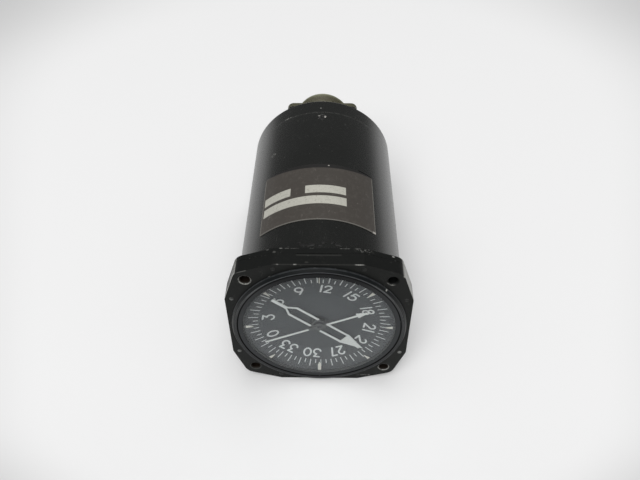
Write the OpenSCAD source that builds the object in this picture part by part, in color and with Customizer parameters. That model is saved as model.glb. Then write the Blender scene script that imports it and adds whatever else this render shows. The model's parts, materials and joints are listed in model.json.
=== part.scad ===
// Radio magnetic indicator: a 3-1/8 inch panel instrument with a rotating compass card and two
// bearing pointers on one axis, driven by a servo gear train and three synchros.
// The origin is the centre of the mounting flange's rear face, which seats on the panel.
// +Y runs along the case to the rear and +Z is up. All sizes are in millimetres.

/* [Flange and bezel] */
// Width of the flange across its flats
flange_w = 82.6; // [82:0.1:86]
// Length of each straight flat
flat_len = 38; // [30:0.5:44]
// Circle through the four panel holes (3.500 inch)
bolt_circle_d = 88.9; // [88:0.1:92]
// Diameter of a panel hole
panel_hole_d = 4.1; // [3.2:0.1:5]
// Diameter of the bare chamfer round a panel hole
hole_chamfer_d = 5.6; // [5.2:0.1:7]
// Radius of an ear round its panel hole
ear_r = 5.4; // [4.6:0.1:7]
// Depth of the front bezel plate
bezel_t = 6.7; // [5.5:0.1:9]
// Depth of the mounting flange plate
flange_t = 2.9; // [2:0.1:5]
// Depth of the fine groove along the seam between the two plates
seam_groove = 0.2; // [0.1:0.05:0.4]
// Length of the slot in the bezel's top edge, at the seam
top_slot_l = 18.8; // [10:0.2:24]
// Width of that slot
top_slot_w = 0.8; // [0.6:0.1:1.8]
// Depth of that slot
top_slot_depth = 0.4; // [0.3:0.1:1]
// Diameter of a bezel screw's head
bezel_screw_d = 1.9; // [1.4:0.1:2.4]

/* [Window] */
// Outer diameter of the raised lip
lip_d = 79.4; // [79:0.1:82.4]
// Width of the raised lip
lip_w = 1.2; // [1:0.1:2]
// Height of the lip over the bezel face
lip_h = 1.9; // [1.6:0.1:3]
// Width of the slope on the lip's outer side
lip_slope_w = 0.8; // [0.2:0.1:0.9]
// Height of that slope
lip_slope_h = 1.1; // [0.2:0.1:1.5]
// Depth of the glass behind the lip's crest
glass_set = 0.6; // [0.5:0.1:1]
// Thickness of the cover glass
glass_t = 1.8; // [1.4:0.1:2.4]
// Thickness of the glass retaining ring
retainer_t = 0.5; // [0.4:0.05:0.5]
// Fall of the retaining ring's front face towards its bore
retainer_fall = 0.3; // [0.1:0.05:0.3]
// Width of the retaining ring
retainer_w = 1.3; // [1:0.1:1.6]
// Opening of the retaining ring, a snap ring
retainer_gap = 0.8; // [0.5:0.1:3]
// Width of the glass edge under the retaining ring
glass_hold = 0.8; // [0.5:0.1:0.9]
// Width of the ledge that the glass stack rests on
ledge_w = 1.6; // [1.2:0.1:2]
// Thickness of the index ring
index_t = 0.3; // [0.2:0.05:0.6]
// Inner diameter of the index ring
index_d = 69; // [67:0.2:70]
// Thickness of the glass gasket
gasket_t = 0.6; // [0.3:0.05:0.8]

/* [Card and pointers] */
// Diameter of the compass card
card_d = 67; // [64:0.2:68]
// Diameter of the card's flat middle
card_flat_d = 40; // [34:0.5:46]
// Rise of the card's dished rim
card_dish = 2.1; // [1.2:0.1:2.2]
// Thickness of the card
card_t = 0.8; // [0.5:0.1:1.2]
// Thickness of a pointer blade
pointer_t = 0.25; // [0.2:0.05:0.4]
// Gap from the glass to the single-bar pointer
glass_gap = 0.3; // [0.3:0.05:0.8]
// Gap between the two pointers
pointer_gap = 0.65; // [0.5:0.05:1]
// Gap from the double-bar pointer to the card's flat middle
card_gap = 2.0; // [1.8:0.1:3]
// Bearing shown by the single-bar pointer, clockwise from the top
single_angle = 65; // [0:1:359]
// Bearing shown by the double-bar pointer, clockwise from the top
double_angle = 130.2; // [0:0.1:359]
// Reach of the single-bar pointer's tip
single_tip = 25.2; // [22:0.1:29]
// Reach of the single-bar pointer's tail
single_tail = 28; // [22:0.1:29]
// Reach of both ends of the double-bar pointer
double_tip = 27.1; // [23:0.1:29]
// Distance between the middles of the two bars
bar_spacing = 5.75; // [5:0.05:6.4]
// Width of the single bar
single_w = 0.95; // [0.7:0.05:1.3]
// Width of each of the two bars
double_w = 1.1; // [0.8:0.05:1.4]

/* [Case and rear cap] */
// Outer diameter of the case
case_d = 79; // [78:0.1:79.4]
// Wall of the case tube
case_wall = 1.2; // [1:0.1:1.6]
// Length of the case tube behind the flange
case_len = 106.9; // [100:0.1:130]
// Length of the rear cap behind the seam
cap_len = 12; // [9:0.1:18]
// Wall of the rear cap
cap_wall = 1.6; // [1.3:0.1:2.2]
// Rounding of the cap's rear edge
cap_round = 1.5; // [0.8:0.1:2]
// Distance of the cap screws from the seam
cap_screw_back = 4.5; // [3.5:0.1:6]
// Diameter of a cap screw's head
cap_screw_d = 5; // [4.2:0.1:5.6]
// Length of the nameplate along the case
plate_len = 40.5; // [30:0.5:50]
// Distance of the nameplate from the flange
plate_y = 19.9; // [12:0.1:30]
// Thickness of the nameplate
plate_t = 0.3; // [0.2:0.05:0.5]
// Thickness of the adhesive under the nameplate
plate_bond = 0.05; // [0.02:0.01:0.1]

/* [Connector] */
// Height of the connector's axis over the case axis
conn_z = 15.7; // [12:0.1:16]
// Width of the connector's square flange
conn_flange_w = 39.4; // [38.4:0.1:40]
// Corner radius of that flange
conn_corner_r = 3.5; // [3:0.1:5]
// Thickness of that flange
conn_flange_t = 3.2; // [2:0.1:4]
// Outer diameter of the coupling shell
shell_d = 31.75; // [29:0.05:33]
// Wall of the coupling shell
shell_wall = 1.9; // [1.4:0.1:2.4]
// Length of the coupling shell behind its flange
shell_len = 17.7; // [15:0.1:22]
// Thickness of the connector gasket
conn_gasket_t = 0.6; // [0.4:0.1:1]
// Distance between the flange screws
conn_screw_pitch = 29.4; // [28.4:0.1:30]
// Diameter of a contact pin
pin_d = 1.57; // [1.2:0.01:1.8]

/* [Gear train] */
// Module of the card drive gears
drive_module = 0.4; // [0.36:0.01:0.4]
// Module of the synchro gears
synchro_module = 0.5; // [0.5:0.01:0.54]
// Teeth of the card drive gear
card_teeth = 90; // [84:2:90]
// Teeth of each pinion
pinion_teeth = 18; // [17:1:20]
// Teeth of the reduction gear
reduction_teeth = 54; // [48:2:54]
// Teeth of each synchro gear
synchro_teeth = 40; // [40:1:42]
// Thickness of a gear
gear_t = 1.4; // [1:0.1:1.8]
// Gap between two levels of gears
gear_gap = 0.6; // [0.5:0.05:1]
// Play between two teeth at the pitch circle
backlash = 0.12; // [0.08:0.01:0.16]
// Distance of the servo motor from the case axis
motor_reach = 22; // [21:0.1:23]

/* [Frame and synchros] */
// Thickness of the front and rear frame plates
plate_thick = 2.5; // [2:0.1:3.5]
// Thickness of the middle plate
middle_thick = 4; // [3.5:0.1:5]
// Diameter of the frame plates
frame_d = 71.4; // [70:0.1:71.6]
// Diameter of a frame post
post_d = 5; // [4:0.1:5.4]
// Diameter of a synchro or motor housing
synchro_d = 19; // [18:0.1:19]
// Length of a synchro or motor housing
synchro_len = 31; // [28:0.5:34]
// Outer radius of the card tube
card_tube_r = 4.5; // [4.4:0.05:5]
// Radius of the double-bar pointer's hollow shaft
hollow_r = 2.4; // [2.3:0.05:2.5]
// Radius of the single-bar pointer's shaft
shaft_r = 1.0; // [0.8:0.05:1.1]
// Radial clearance of a shaft in its bearing
running_clr = 0.05; // [0.03:0.01:0.08]
// Clearance of a fixed piece in its seat
seat_clr = 0.05; // [0.03:0.01:0.1]

/* [Amplifier] */
// Thickness of a circuit board
board_t = 1.6; // [1:0.1:2]
// Diameter of the circuit boards
board_d = 68; // [64:0.5:70]
// Distance from the rear plate to the amplifier board
board_gap = 8; // [6:0.5:12]
// Distance between the two boards
board_space = 16; // [15:0.5:20]

/* [Hidden] */
$fn = 96;

// Front to rear, from the panel seat at y = 0
y_split = -flange_t;
y_face = y_split - bezel_t;
y_crest = y_face - lip_h;
y_glass = y_crest + glass_set;
y_index = y_glass + glass_t;
y_gasket = y_index + index_t;
y_ledge = y_gasket + gasket_t;
y_single = y_index + glass_gap;
y_double = y_single + pointer_t + pointer_gap;
y_card = y_double + pointer_t + card_gap;
y_card_rear = y_card + card_t;
web_depth = 2;
seam_half = 0.1;
y_front_plate = web_depth;
y_gears = y_front_plate + plate_thick + 1;
y_middle = y_gears + 4 * (gear_t + gear_gap) + 1.5;
y_synchro = y_middle + middle_thick;
y_rear_plate = y_synchro + synchro_len + 3;
y_amplifier = y_rear_plate + plate_thick + board_gap;
y_terminal = y_amplifier + board_t + board_space;
y_cap_rear = case_len + cap_len;
y_conn = y_cap_rear + conn_gasket_t;
y_shell = y_conn + conn_flange_t;
y_mouth = y_shell + shell_len;

// Radii of the window, case and spigot
lip_r = lip_d / 2;
lip_in_r = lip_r - lip_w;
glass_r = lip_in_r - glass_hold;
ledge_r = glass_r - ledge_w;
retainer_r = lip_in_r - seat_clr;
case_r = case_d / 2;
bore_r = case_r - case_wall;
spigot_r = bore_r - seat_clr;
spigot_len = 8;
tube_seat = 0.6;
spigot_in_r = frame_d / 2 + 0.2;
web_r = spigot_in_r - 5;
skirt_r = bore_r - seat_clr;
skirt_len = 10.5;
index_r = index_d / 2;

// Mechanism places, as [x, z]
hole_at = bolt_circle_d / 2 / sqrt(2);
synchro_gear_r = synchro_module * synchro_teeth / 2;
synchro_reach = 2 * synchro_gear_r;
card_gear_r = drive_module * card_teeth / 2;
pinion_r = drive_module * pinion_teeth / 2;
reduction_r = drive_module * reduction_teeth / 2;
reduction_reach = card_gear_r + pinion_r;
reduction_span = reduction_r + pinion_r;
reduction_turn = acos((reduction_reach ^ 2 + motor_reach ^ 2 - reduction_span ^ 2)
    / (2 * reduction_reach * motor_reach));
pointer_dir = 30;
heading_dir = 150;
motor_dir = 270;
reduction_dir = motor_dir + reduction_turn;
function polar(r, a) = [r * cos(a), r * sin(a)];
main_at = [0, 0];
pointer_at = polar(synchro_reach, pointer_dir);
heading_at = polar(synchro_reach, heading_dir);
motor_at = polar(motor_reach, motor_dir);
reduction_at = polar(reduction_reach, reduction_dir);
unit_places = [main_at, pointer_at, heading_at, motor_at];
synchro_places = [main_at, pointer_at, heading_at];
post_reach = frame_d / 2 - 3.7;

// Frame posts stand at the quarters in front and between the synchros behind
front_post_places = [for (a = [0:90:270]) polar(post_reach, a)];
rear_post_places = [for (a = [45:90:315]) polar(post_reach, a)];

// Shafts, bushes and bearings
tube_in_r = 3.2;
hollow_in_r = 1.7;
rotor_shaft_r = 1.2;
card_bearing_r = card_tube_r + 2.5;
card_bearing_w = 2.5;
boss_len = 4;
y_boss = y_front_plate - boss_len;
boss_r = card_bearing_r + 2.5;
card_hub_r = card_tube_r + 3.5;
middle_bearing_r = hollow_r + 2;
middle_bearing_w = 1.8;
bush_len = 3;
bush_r = rotor_shaft_r + 1.3;
rear_bush_len = 2;
post_spigot_r = post_d * 0.3;

// Synchro and motor housings
synchro_r = synchro_d / 2;
pilot_r = 6.5;
pilot_len = 1.5;
rim_t = 1.2;
groove_w = 1.4;
groove_depth = 0.8;
cavity_r = synchro_r - 0.8;
cavity_y = rim_t + groove_w + 0.9;
end_wall = 1.2;
stator_in_r = 5.25;
rotor_r = stator_in_r - 0.3;
clamp_reach = synchro_r + 1.9;
clamp_r = 2.6;
clamp_foot_r = 1.8;
lead_hole_r = 5;

// Connector
shell_r = shell_d / 2;
shell_in_r = shell_r - shell_wall;
rear_shell_r = shell_in_r + 0.2;
rear_shell_in_r = rear_shell_r - 1.2;
rear_shell_len = 9;
shell_hole_clr = 0.3;
insert_in = 4.2;
y_insert_rear = y_shell + insert_in - 0.9;
y_insert_front = y_conn - rear_shell_len + 1;
y_pin_tip = y_mouth - 5;
y_pin_cup = y_insert_front - 3.5;
pin_r = pin_d / 2;
cup_depth = 2.6;
pin_rings = [[1, 0], [6, 5.1], [10, 9.9]];
pin_places = [for (ring = pin_rings) for (k = [0:ring[0] - 1]) polar(ring[1], 90 + k * 360 / ring[0])];

// Cap screws, the top one and two below
cap_screw_dirs = [0, 120, 240];
y_cap_screw = case_len - cap_screw_back;
cap_screw_h = 0.9;
cap_screw_z = case_r - 0.1;
cap_slot_w = 0.8;
cap_slot_depth = 0.5;
shank_r = 1.5;
screw_hole_r = shank_r + 0.1;
seal_r = 0.6;
y_seal = case_len - skirt_len + 2.2;

// Bezel screws stand near both ends of each flat
bezel_screw_reach = flange_w / 2 - 3;
bezel_screw_side = flat_len / 2 + 0.1;
bezel_screw_places = [for (a = [0:90:270]) for (s = [-1, 1])
    turned([s * bezel_screw_side, bezel_screw_reach], a)];
bezel_screw_head = 1.2;
bezel_shank_r = bezel_screw_d * 0.4;
bezel_screw_len = bezel_t + 1.4;
bezel_slot_depth = 0.35;

// Index marks
mark_len = 4.4;
mark_in = index_r - mark_len;
mark_half = 0.75;
lubber_w = 0.6;
foot_half = 0.8;
foot_neck_half = 0.35;
mark_dirs = [45, 90, 135, 225, 270, 315];

// A point turned clockwise about the axis, as seen from the front
function turned(p, a) = [p[0] * cos(a) + p[1] * sin(a), p[1] * cos(a) - p[0] * sin(a)];

// A flat shape drawn in X and Z, made solid from y0 to y1
module plate(y0, y1) {
    translate([0, y1, 0]) rotate([90, 0, 0]) linear_extrude(y1 - y0) children();
}

// A profile drawn as [radius, y], turned about the Y axis
module spun() {
    rotate([-90, 0, 0]) rotate_extrude() children();
}

// A round bar along Y
module bar(y0, y1, r) {
    translate([0, y0, 0]) rotate([-90, 0, 0]) cylinder(h = y1 - y0, r = r);
}

// A round bar along Y with a bore
module sleeve(y0, y1, r_out, r_in) {
    difference() {
        bar(y0, y1, r_out);
        bar(y0 - 1, y1 + 1, r_in);
    }
}

// A cone along Y, from radius r0 at y0 to r1 at y1
module taper(y0, y1, r0, r1) {
    translate([0, y0, 0]) rotate([-90, 0, 0]) cylinder(h = y1 - y0, r1 = r0, r2 = r1);
}

// Moves a piece to a place given as [x, z]
module at(place) {
    translate([place[0], 0, place[1]]) children();
}

// Turns a piece clockwise about the Y axis, as seen from the front
module clockwise(a) {
    rotate([0, a, 0]) children();
}

// The slot across a screw head whose face lies at y0, cut to y1
module driver_slot(y0, y1, r) {
    translate([-r, y0, -r / 6]) cube([2 * r, y1 - y0, r / 3]);
}

// The point where a line from p touches a circle of centre c and radius r
function touch_point(p, c, r) = let (
    d = norm(c - p),
    a = atan2(c[1] - p[1], c[0] - p[0]) + asin(r / d)
) p + sqrt(d ^ 2 - r ^ 2) * [cos(a), sin(a)];

// The corners of one quarter of the flange: the end of a flat, and where the slope meets the ear
function flange_quarter(inset) = let (
    flat_end = [flat_len / 2, flange_w / 2 - inset],
    ear = touch_point(flat_end, [hole_at, hole_at], ear_r - inset)
) [flat_end, ear, [ear[1], ear[0]], [flat_end[1], flat_end[0]]];
panel_holes = [for (sx = [-1, 1]) for (sz = [-1, 1]) [sx * hole_at, sz * hole_at]];

// Outline of the flange: four flats, and an ear round each panel hole
module flange_outline(inset = 0) {
    polygon([for (a = [0:90:270]) for (p = flange_quarter(inset)) turned(p, a)]);
    for (p = panel_holes) translate(p) circle(r = ear_r - inset);
}

// Plate from y0 to y1 with its panel holes, and half of the seam's groove between groove_0 and groove_1
module eared_plate(y0, y1, groove_0, groove_1) {
    difference() {
        union() {
            plate(y0, y1) flange_outline(seam_groove);
            plate(y0 + groove_0, y1 - groove_1) flange_outline();
        }
        for (p = panel_holes) at(p) bar(y0 - 1, y1 + 1, panel_hole_d / 2);
    }
}

module front_bezel() {
    chamfer = (hole_chamfer_d - panel_hole_d) / 2;
    color("#262827") difference() {
        union() {
            eared_plate(y_face, y_split, 0, seam_half);
            lip();
        }
        bar(y_crest - 1, y_ledge, glass_r + seat_clr);
        bar(y_crest - 1, y_glass, retainer_r + seat_clr);
        bar(y_ledge - 1, y_split + 1, ledge_r);
        for (p = panel_holes) at(p) {
            taper(y_face - 0.01, y_face + chamfer, hole_chamfer_d / 2, panel_hole_d / 2);
        }
        for (p = bezel_screw_places) at(p) {
            bar(y_face - 1, y_face + bezel_screw_head, bezel_screw_d / 2 + seat_clr);
            bar(y_face, y_split + 1, bezel_shank_r + seat_clr);
        }
        translate([-top_slot_l / 2, y_split - top_slot_w, flange_w / 2 - top_slot_depth]) {
            cube([top_slot_l, top_slot_w + 1, 2 * top_slot_depth]);
        }
    }
}

// The raised lip: a straight bore, a narrow crest and a sloped outer side over a straight foot
module lip() {
    y_foot = y_face + 1;
    spun() polygon([[lip_in_r, y_foot], [lip_in_r, y_crest], [lip_r - lip_slope_w, y_crest],
        [lip_r, y_crest + lip_slope_h], [lip_r, y_foot]]);
}

module mounting_flange() {
    color("#2a2c2b") difference() {
        union() {
            eared_plate(y_split, 0, seam_half, 0);
            bar(y_split, spigot_len, spigot_r);
        }
        bar(y_split - 1, spigot_len + 1, web_r);
        bar(web_depth, spigot_len + 1, spigot_in_r);
        sleeve(-tube_seat, spigot_len + 1, case_r + seat_clr, spigot_r);
        for (p = frame_screw_places) at(p) bar(-1.2, web_depth + 1, shank_r);
        for (p = bezel_screw_places) at(p) {
            bar(y_split - 1, y_face + bezel_screw_len, bezel_shank_r + seat_clr);
        }
    }
}

module bezel_screws() {
    color("#5a5d5c") for (p = bezel_screw_places) at(p) difference() {
        union() {
            bar(y_face, y_face + bezel_screw_head, bezel_screw_d / 2);
            bar(y_face, y_face + bezel_screw_len, bezel_shank_r);
        }
        driver_slot(y_face - 1, y_face + bezel_slot_depth, bezel_screw_d / 2);
    }
}

// A snap ring, open at the bottom, whose front face falls towards its bore
module glass_retaining_ring() {
    y0 = y_glass - retainer_t;
    in_r = retainer_r - retainer_w;
    color("#303332") difference() {
        spun() polygon([[in_r, y_glass], [retainer_r, y_glass], [retainer_r, y0],
            [in_r, y0 + retainer_fall]]);
        translate([-retainer_gap / 2, y0 - 1, -retainer_r - 1]) {
            cube([retainer_gap, retainer_t + 2, retainer_w + 3]);
        }
    }
}

module cover_glass() {
    color([0.8, 0.85, 0.88, 0.3]) bar(y_glass, y_index, glass_r);
}

module glass_gasket() {
    color("#161616") sleeve(y_gasket, y_ledge, glass_r, ledge_r + 0.2);
}

// The mask ring, with a pointed mark at each 45 degrees, the lubber line and the bottom mark
module index_ring() {
    color("#33363a") union() {
        sleeve(y_index, y_gasket, glass_r, index_r);
        plate(y_index, y_gasket) index_marks();
    }
}

// Each mark is rooted in the ring. The bottom one narrows to a neck past the others' tips
module index_marks() {
    root = index_r + 0.5;
    shoulder = index_r - 0.9;
    foot_end = mark_in - 0.9;
    neck_start = mark_in - 1.6;
    neck_end = mark_in - 2.6;
    for (a = mark_dirs) rotate(-a) {
        polygon([[-mark_half, root], [mark_half, root], [mark_half, shoulder], [0, mark_in],
            [-mark_half, shoulder]]);
    }
    translate([-lubber_w / 2, mark_in]) square([lubber_w, root - mark_in]);
    rotate(180) polygon([[-foot_half, root], [foot_half, root], [foot_half, foot_end],
        [foot_neck_half, neck_start], [foot_neck_half, neck_end], [-foot_neck_half, neck_end],
        [-foot_neck_half, neck_start], [-foot_half, foot_end]]);
}

module case_tube() {
    color("#272928") difference() {
        sleeve(-tube_seat, case_len, case_r, bore_r);
        for (a = cap_screw_dirs) clockwise(a) translate([0, y_cap_screw, 0]) {
            translate([0, 0, bore_r - 2]) cylinder(h = 3, r = shank_r + seat_clr);
            countersunk(seat_clr, 1);
        }
    }
}

// The cone of a countersunk head, widened by a clearance and carried on by a stretch over the head
module countersunk(clearance, over) {
    slope = (cap_screw_d / 2 - shank_r) / cap_screw_h;
    root_r = shank_r + clearance;
    height = cap_screw_h + over;
    translate([0, 0, cap_screw_z - cap_screw_h]) {
        cylinder(h = height, r1 = root_r, r2 = root_r + slope * height);
    }
}

// A thin curved plate on the top of the case, from 44 degrees left to 40 degrees right
module nameplate() {
    left = 44;
    right = 40;
    color("#4b4641") rotate([-90, -90 - left, 0]) rotate_extrude(angle = left + right) {
        translate([case_r + plate_bond, plate_y]) square([plate_t, plate_len]);
    }
}

module rear_cap() {
    in_r = skirt_r - cap_wall;
    seal_root = bore_r - 2 * seal_r;
    seal_groove_w = 1.6;
    color("#272928") difference() {
        spun() {
            translate([0, case_len - skirt_len]) square([skirt_r, skirt_len + 1]);
            translate([0, case_len]) square([case_r, cap_len - cap_round]);
            translate([0, case_len + 1]) square([case_r - cap_round, cap_len - 1]);
            translate([case_r - cap_round, y_cap_rear - cap_round]) circle(r = cap_round);
        }
        bar(case_len - skirt_len - 1, y_cap_rear - cap_wall, in_r);
        spun() translate([seal_root, y_seal - seal_groove_w / 2]) square([3, seal_groove_w]);
        for (a = cap_screw_dirs) clockwise(a) translate([0, y_cap_screw, bore_r - 5]) {
            cylinder(h = 8, r = shank_r + seat_clr);
        }
        at([0, conn_z]) bar(y_cap_rear - cap_wall - 1, y_cap_rear + 1, rear_shell_r + shell_hole_clr);
        for (p = conn_screw_places) at(p) bar(y_cap_rear - cap_wall - 1, y_cap_rear + 1, shank_r);
    }
}

module rear_cap_seal() {
    color("#121212") spun() translate([bore_r - seal_r, y_seal]) circle(r = seal_r);
}

module rear_cap_screws() {
    color("#3b3e3d") for (a = cap_screw_dirs) clockwise(a) translate([0, y_cap_screw, 0]) {
        difference() {
            union() {
                translate([0, 0, skirt_r - cap_wall]) cylinder(h = cap_wall + case_wall - 0.5, r = shank_r);
                countersunk(0, 0);
            }
            translate([-cap_screw_d, -cap_slot_w / 2, cap_screw_z - cap_slot_depth]) {
                cube([2 * cap_screw_d, cap_slot_w, 1]);
            }
        }
    }
}

conn_screw_places = [for (sx = [-1, 1]) for (sz = [-1, 1])
    [sx * conn_screw_pitch / 2, conn_z + sz * conn_screw_pitch / 2]];

// Square outline with round corners, about the connector's axis
module conn_outline() {
    side = conn_flange_w;
    inner = side - 2 * conn_corner_r;
    translate([0, conn_z]) {
        square([side, inner], center = true);
        square([inner, side], center = true);
        for (sx = [-1, 1]) for (sz = [-1, 1]) {
            translate([sx * inner / 2, sz * inner / 2]) circle(r = conn_corner_r);
        }
    }
}

module connector_gasket() {
    color("#1a1a1a") difference() {
        plate(y_cap_rear, y_conn) conn_outline();
        at([0, conn_z]) bar(y_cap_rear - 1, y_conn + 1, rear_shell_r + shell_hole_clr);
        for (p = conn_screw_places) at(p) bar(y_cap_rear - 1, y_conn + 1, screw_hole_r);
    }
}

// Receptacle shell: square flange, coupling shell with its keyway, and the rear shell in the case
module connector_shell() {
    relief_depth = 0.8;
    relief_w = 1.6;
    mouth_chamfer = 0.8;
    key_w = 2.4;
    key_depth = 0.9;
    color("#5b5f45") difference() {
        union() {
            plate(y_conn, y_shell) conn_outline();
            at([0, conn_z]) bar(y_conn - rear_shell_len, y_shell, rear_shell_r);
            at([0, conn_z]) bar(y_shell - 0.5, y_mouth - mouth_chamfer, shell_r);
            at([0, conn_z]) taper(y_mouth - mouth_chamfer, y_mouth, shell_r, shell_r - mouth_chamfer);
        }
        at([0, conn_z]) {
            bar(y_conn - rear_shell_len - 1, y_insert_rear, rear_shell_in_r);
            bar(y_insert_rear - 0.01, y_mouth + 1, shell_in_r);
            spun() translate([shell_r - relief_depth, y_shell]) square([relief_depth + 1, relief_w]);
            translate([-key_w / 2, y_insert_rear + 2, shell_in_r - 1]) {
                cube([key_w, shell_len, 1 + key_depth]);
            }
        }
        for (p = conn_screw_places) at(p) bar(y_conn - 1, y_shell + 1, screw_hole_r);
    }
}

module connector_insert() {
    color("#2e3a30") at([0, conn_z]) difference() {
        bar(y_insert_front, y_insert_rear, rear_shell_in_r - seat_clr);
        for (p = pin_places) at(p) bar(y_insert_front - 1, y_insert_rear + 1, pin_r + seat_clr);
    }
}

module connector_pins() {
    cup_wall = 0.35;
    color("#b08d3c") at([0, conn_z]) for (p = pin_places) at(p) difference() {
        union() {
            bar(y_pin_cup, y_pin_tip - pin_r / 2, pin_r);
            taper(y_pin_tip - pin_r / 2, y_pin_tip, pin_r, pin_r / 2);
            bar(y_pin_cup, y_insert_front, pin_r + cup_wall);
        }
        bar(y_pin_cup - 1, y_pin_cup + cup_depth, pin_r - 0.15);
    }
}

module connector_screws() {
    head_r = 2.7;
    rim_t = 0.9;
    dome_t = 0.6;
    color("#6e706c") for (p = conn_screw_places) at(p) difference() {
        union() {
            bar(y_cap_rear - cap_wall - 1.5, y_shell + 0.5, shank_r);
            bar(y_shell, y_shell + rim_t, head_r);
            taper(y_shell + rim_t, y_shell + rim_t + dome_t, head_r, head_r - 0.8);
        }
        driver_slot(y_shell + rim_t - 0.1, y_shell + 3, head_r);
    }
}

// One wire from each solder cup to the terminal board
module connector_wires() {
    color("#8c8f7a") at([0, conn_z]) for (p = pin_places) at(p) {
        bar(y_terminal + board_t, y_pin_cup + cup_depth, pin_r - 0.2);
    }
}

// Dished card: a flat middle and a rim that rises towards the glass
module compass_card() {
    flat_r = card_flat_d / 2;
    rim_r = card_d / 2;
    color("#2b2e30") spun() polygon([
        [card_tube_r, y_card], [flat_r, y_card], [rim_r, y_card - card_dish],
        [rim_r, y_card - card_dish + card_t], [flat_r, y_card_rear], [card_tube_r, y_card_rear]]);
}

module card_hub() {
    color("#a8aaa8") difference() {
        union() {
            bar(y_card_rear, y_card_rear + 1, card_hub_r);
            bar(y_card_rear, y_boss - 0.3, card_tube_r + 1.5);
        }
        bar(y_card_rear - 1, y_boss, card_tube_r);
    }
}

module card_tube() {
    color("#b9bbb9") sleeve(y_card, level(3) - 0.3, card_tube_r, tube_in_r);
}

module card_bushes() {
    color("#a8793a") for (y = [y_card, level(3) - 0.3 - bush_len]) {
        sleeve(y, y + bush_len, tube_in_r, hollow_r + running_clr);
    }
}

// Front face of a gear level, counted from the front plate
function level(k) = y_gears + k * (gear_t + gear_gap);

// Involute teeth. Angles are in degrees and the pressure angle is 20 degrees
pressure_angle = 20;
function roll_at(base, r) = r <= base ? 0 : sqrt((r / base) ^ 2 - 1);
function involute_at(base, r) = roll_at(base, r) * 180 / PI - atan(roll_at(base, r));
function half_tooth(teeth, module_mm, r) = let (
    pitch = teeth * module_mm / 2,
    base = pitch * cos(pressure_angle)
) 90 / teeth - backlash / 4 / pitch * 180 / PI + involute_at(base, pitch) - involute_at(base, r);
function tooth_radii(teeth, module_mm) = let (
    pitch = teeth * module_mm / 2,
    root = pitch - 1.25 * module_mm,
    base = pitch * cos(pressure_angle)
) [root, max(base, root + 0.3 * module_mm), pitch, pitch + 0.95 * module_mm];
function tooth_points(teeth, module_mm, a) = let (
    radii = tooth_radii(teeth, module_mm)
) concat(
    [for (r = radii) polar(r, a - half_tooth(teeth, module_mm, r))],
    [for (k = [3:-1:0]) polar(radii[k], a + half_tooth(teeth, module_mm, radii[k]))]);
function gear_points(teeth, module_mm, turn) = [
    for (k = [0:teeth - 1]) for (p = tooth_points(teeth, module_mm, turn + k * 360 / teeth)) p];

// The turn that puts a gap of the second gear over a tooth of the first, which is turned by a
function mesh_turn(dir, teeth_a, teeth_b, a) =
    dir + 180 - 180 / teeth_b + (dir - a) * teeth_a / teeth_b;

// Spur gear at a level, with a hub behind it where hub_len is over 0
module spur_gear(teeth, module_mm, k, turn, bore, hub_r = 0, hub_len = 0) {
    y0 = level(k);
    difference() {
        union() {
            plate(y0, y0 + gear_t) polygon(gear_points(teeth, module_mm, turn));
            if (hub_len > 0) bar(y0, y0 + gear_t + hub_len, hub_r);
        }
        bar(y0 - 1, y0 + gear_t + hub_len + 1, bore);
    }
}

// Round lightening holes through a gear's web
module web_holes(k, count, reach, r) {
    for (n = [0:count - 1]) at(polar(reach, n * 360 / count)) bar(level(k) - 1, level(k) + gear_t + 1, r);
}

module card_drive_gear() {
    rim_in = card_gear_r - 3 * drive_module;
    hub_r = card_tube_r + 1.8;
    color("#b08d3c") difference() {
        spur_gear(card_teeth, drive_module, 0, 0, card_tube_r, hub_r, gear_gap);
        web_holes(0, 6, (rim_in + hub_r) / 2, (rim_in - hub_r) / 2 - 1);
    }
}

module heading_takeoff_gear() {
    color("#b08d3c") spur_gear(synchro_teeth, synchro_module, 2, 0, card_tube_r);
}

module card_bearings() {
    color("#9a9d9c") {
        bearing(y_boss, card_bearing_w, card_bearing_r, card_tube_r);
        bearing(y_front_plate + plate_thick - card_bearing_w, card_bearing_w, card_bearing_r, card_tube_r);
    }
}

// A shielded ball bearing, with its shields set back from both faces
module bearing(y0, w, r_out, shaft) {
    set_back = 0.25;
    race = (r_out - shaft) * 0.28;
    difference() {
        sleeve(y0, y0 + w, r_out, shaft + running_clr);
        for (y = [y0 - 1, y0 + w - set_back]) {
            sleeve(y, y + 1 + set_back, r_out - race, shaft + running_clr + race);
        }
    }
}

// Blade with a hub disc and its arrowhead pointing up, in the plane of the card
module single_bar_pointer() {
    head_l = 6.3;
    head_w = 3.3;
    hub_r = 2.2;
    color("#e4e4dc") difference() {
        clockwise(single_angle) {
            plate(y_single, y_single + pointer_t) {
                circle(r = hub_r);
                translate([-single_w / 2, -single_tail]) square([single_w, single_tail + single_tip - 2]);
                polygon([[-head_w / 2, single_tip - head_l], [head_w / 2, single_tip - head_l],
                    [0, single_tip]]);
            }
        }
        bar(y_single - 1, y_single + 1, shaft_r);
    }
}

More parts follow.
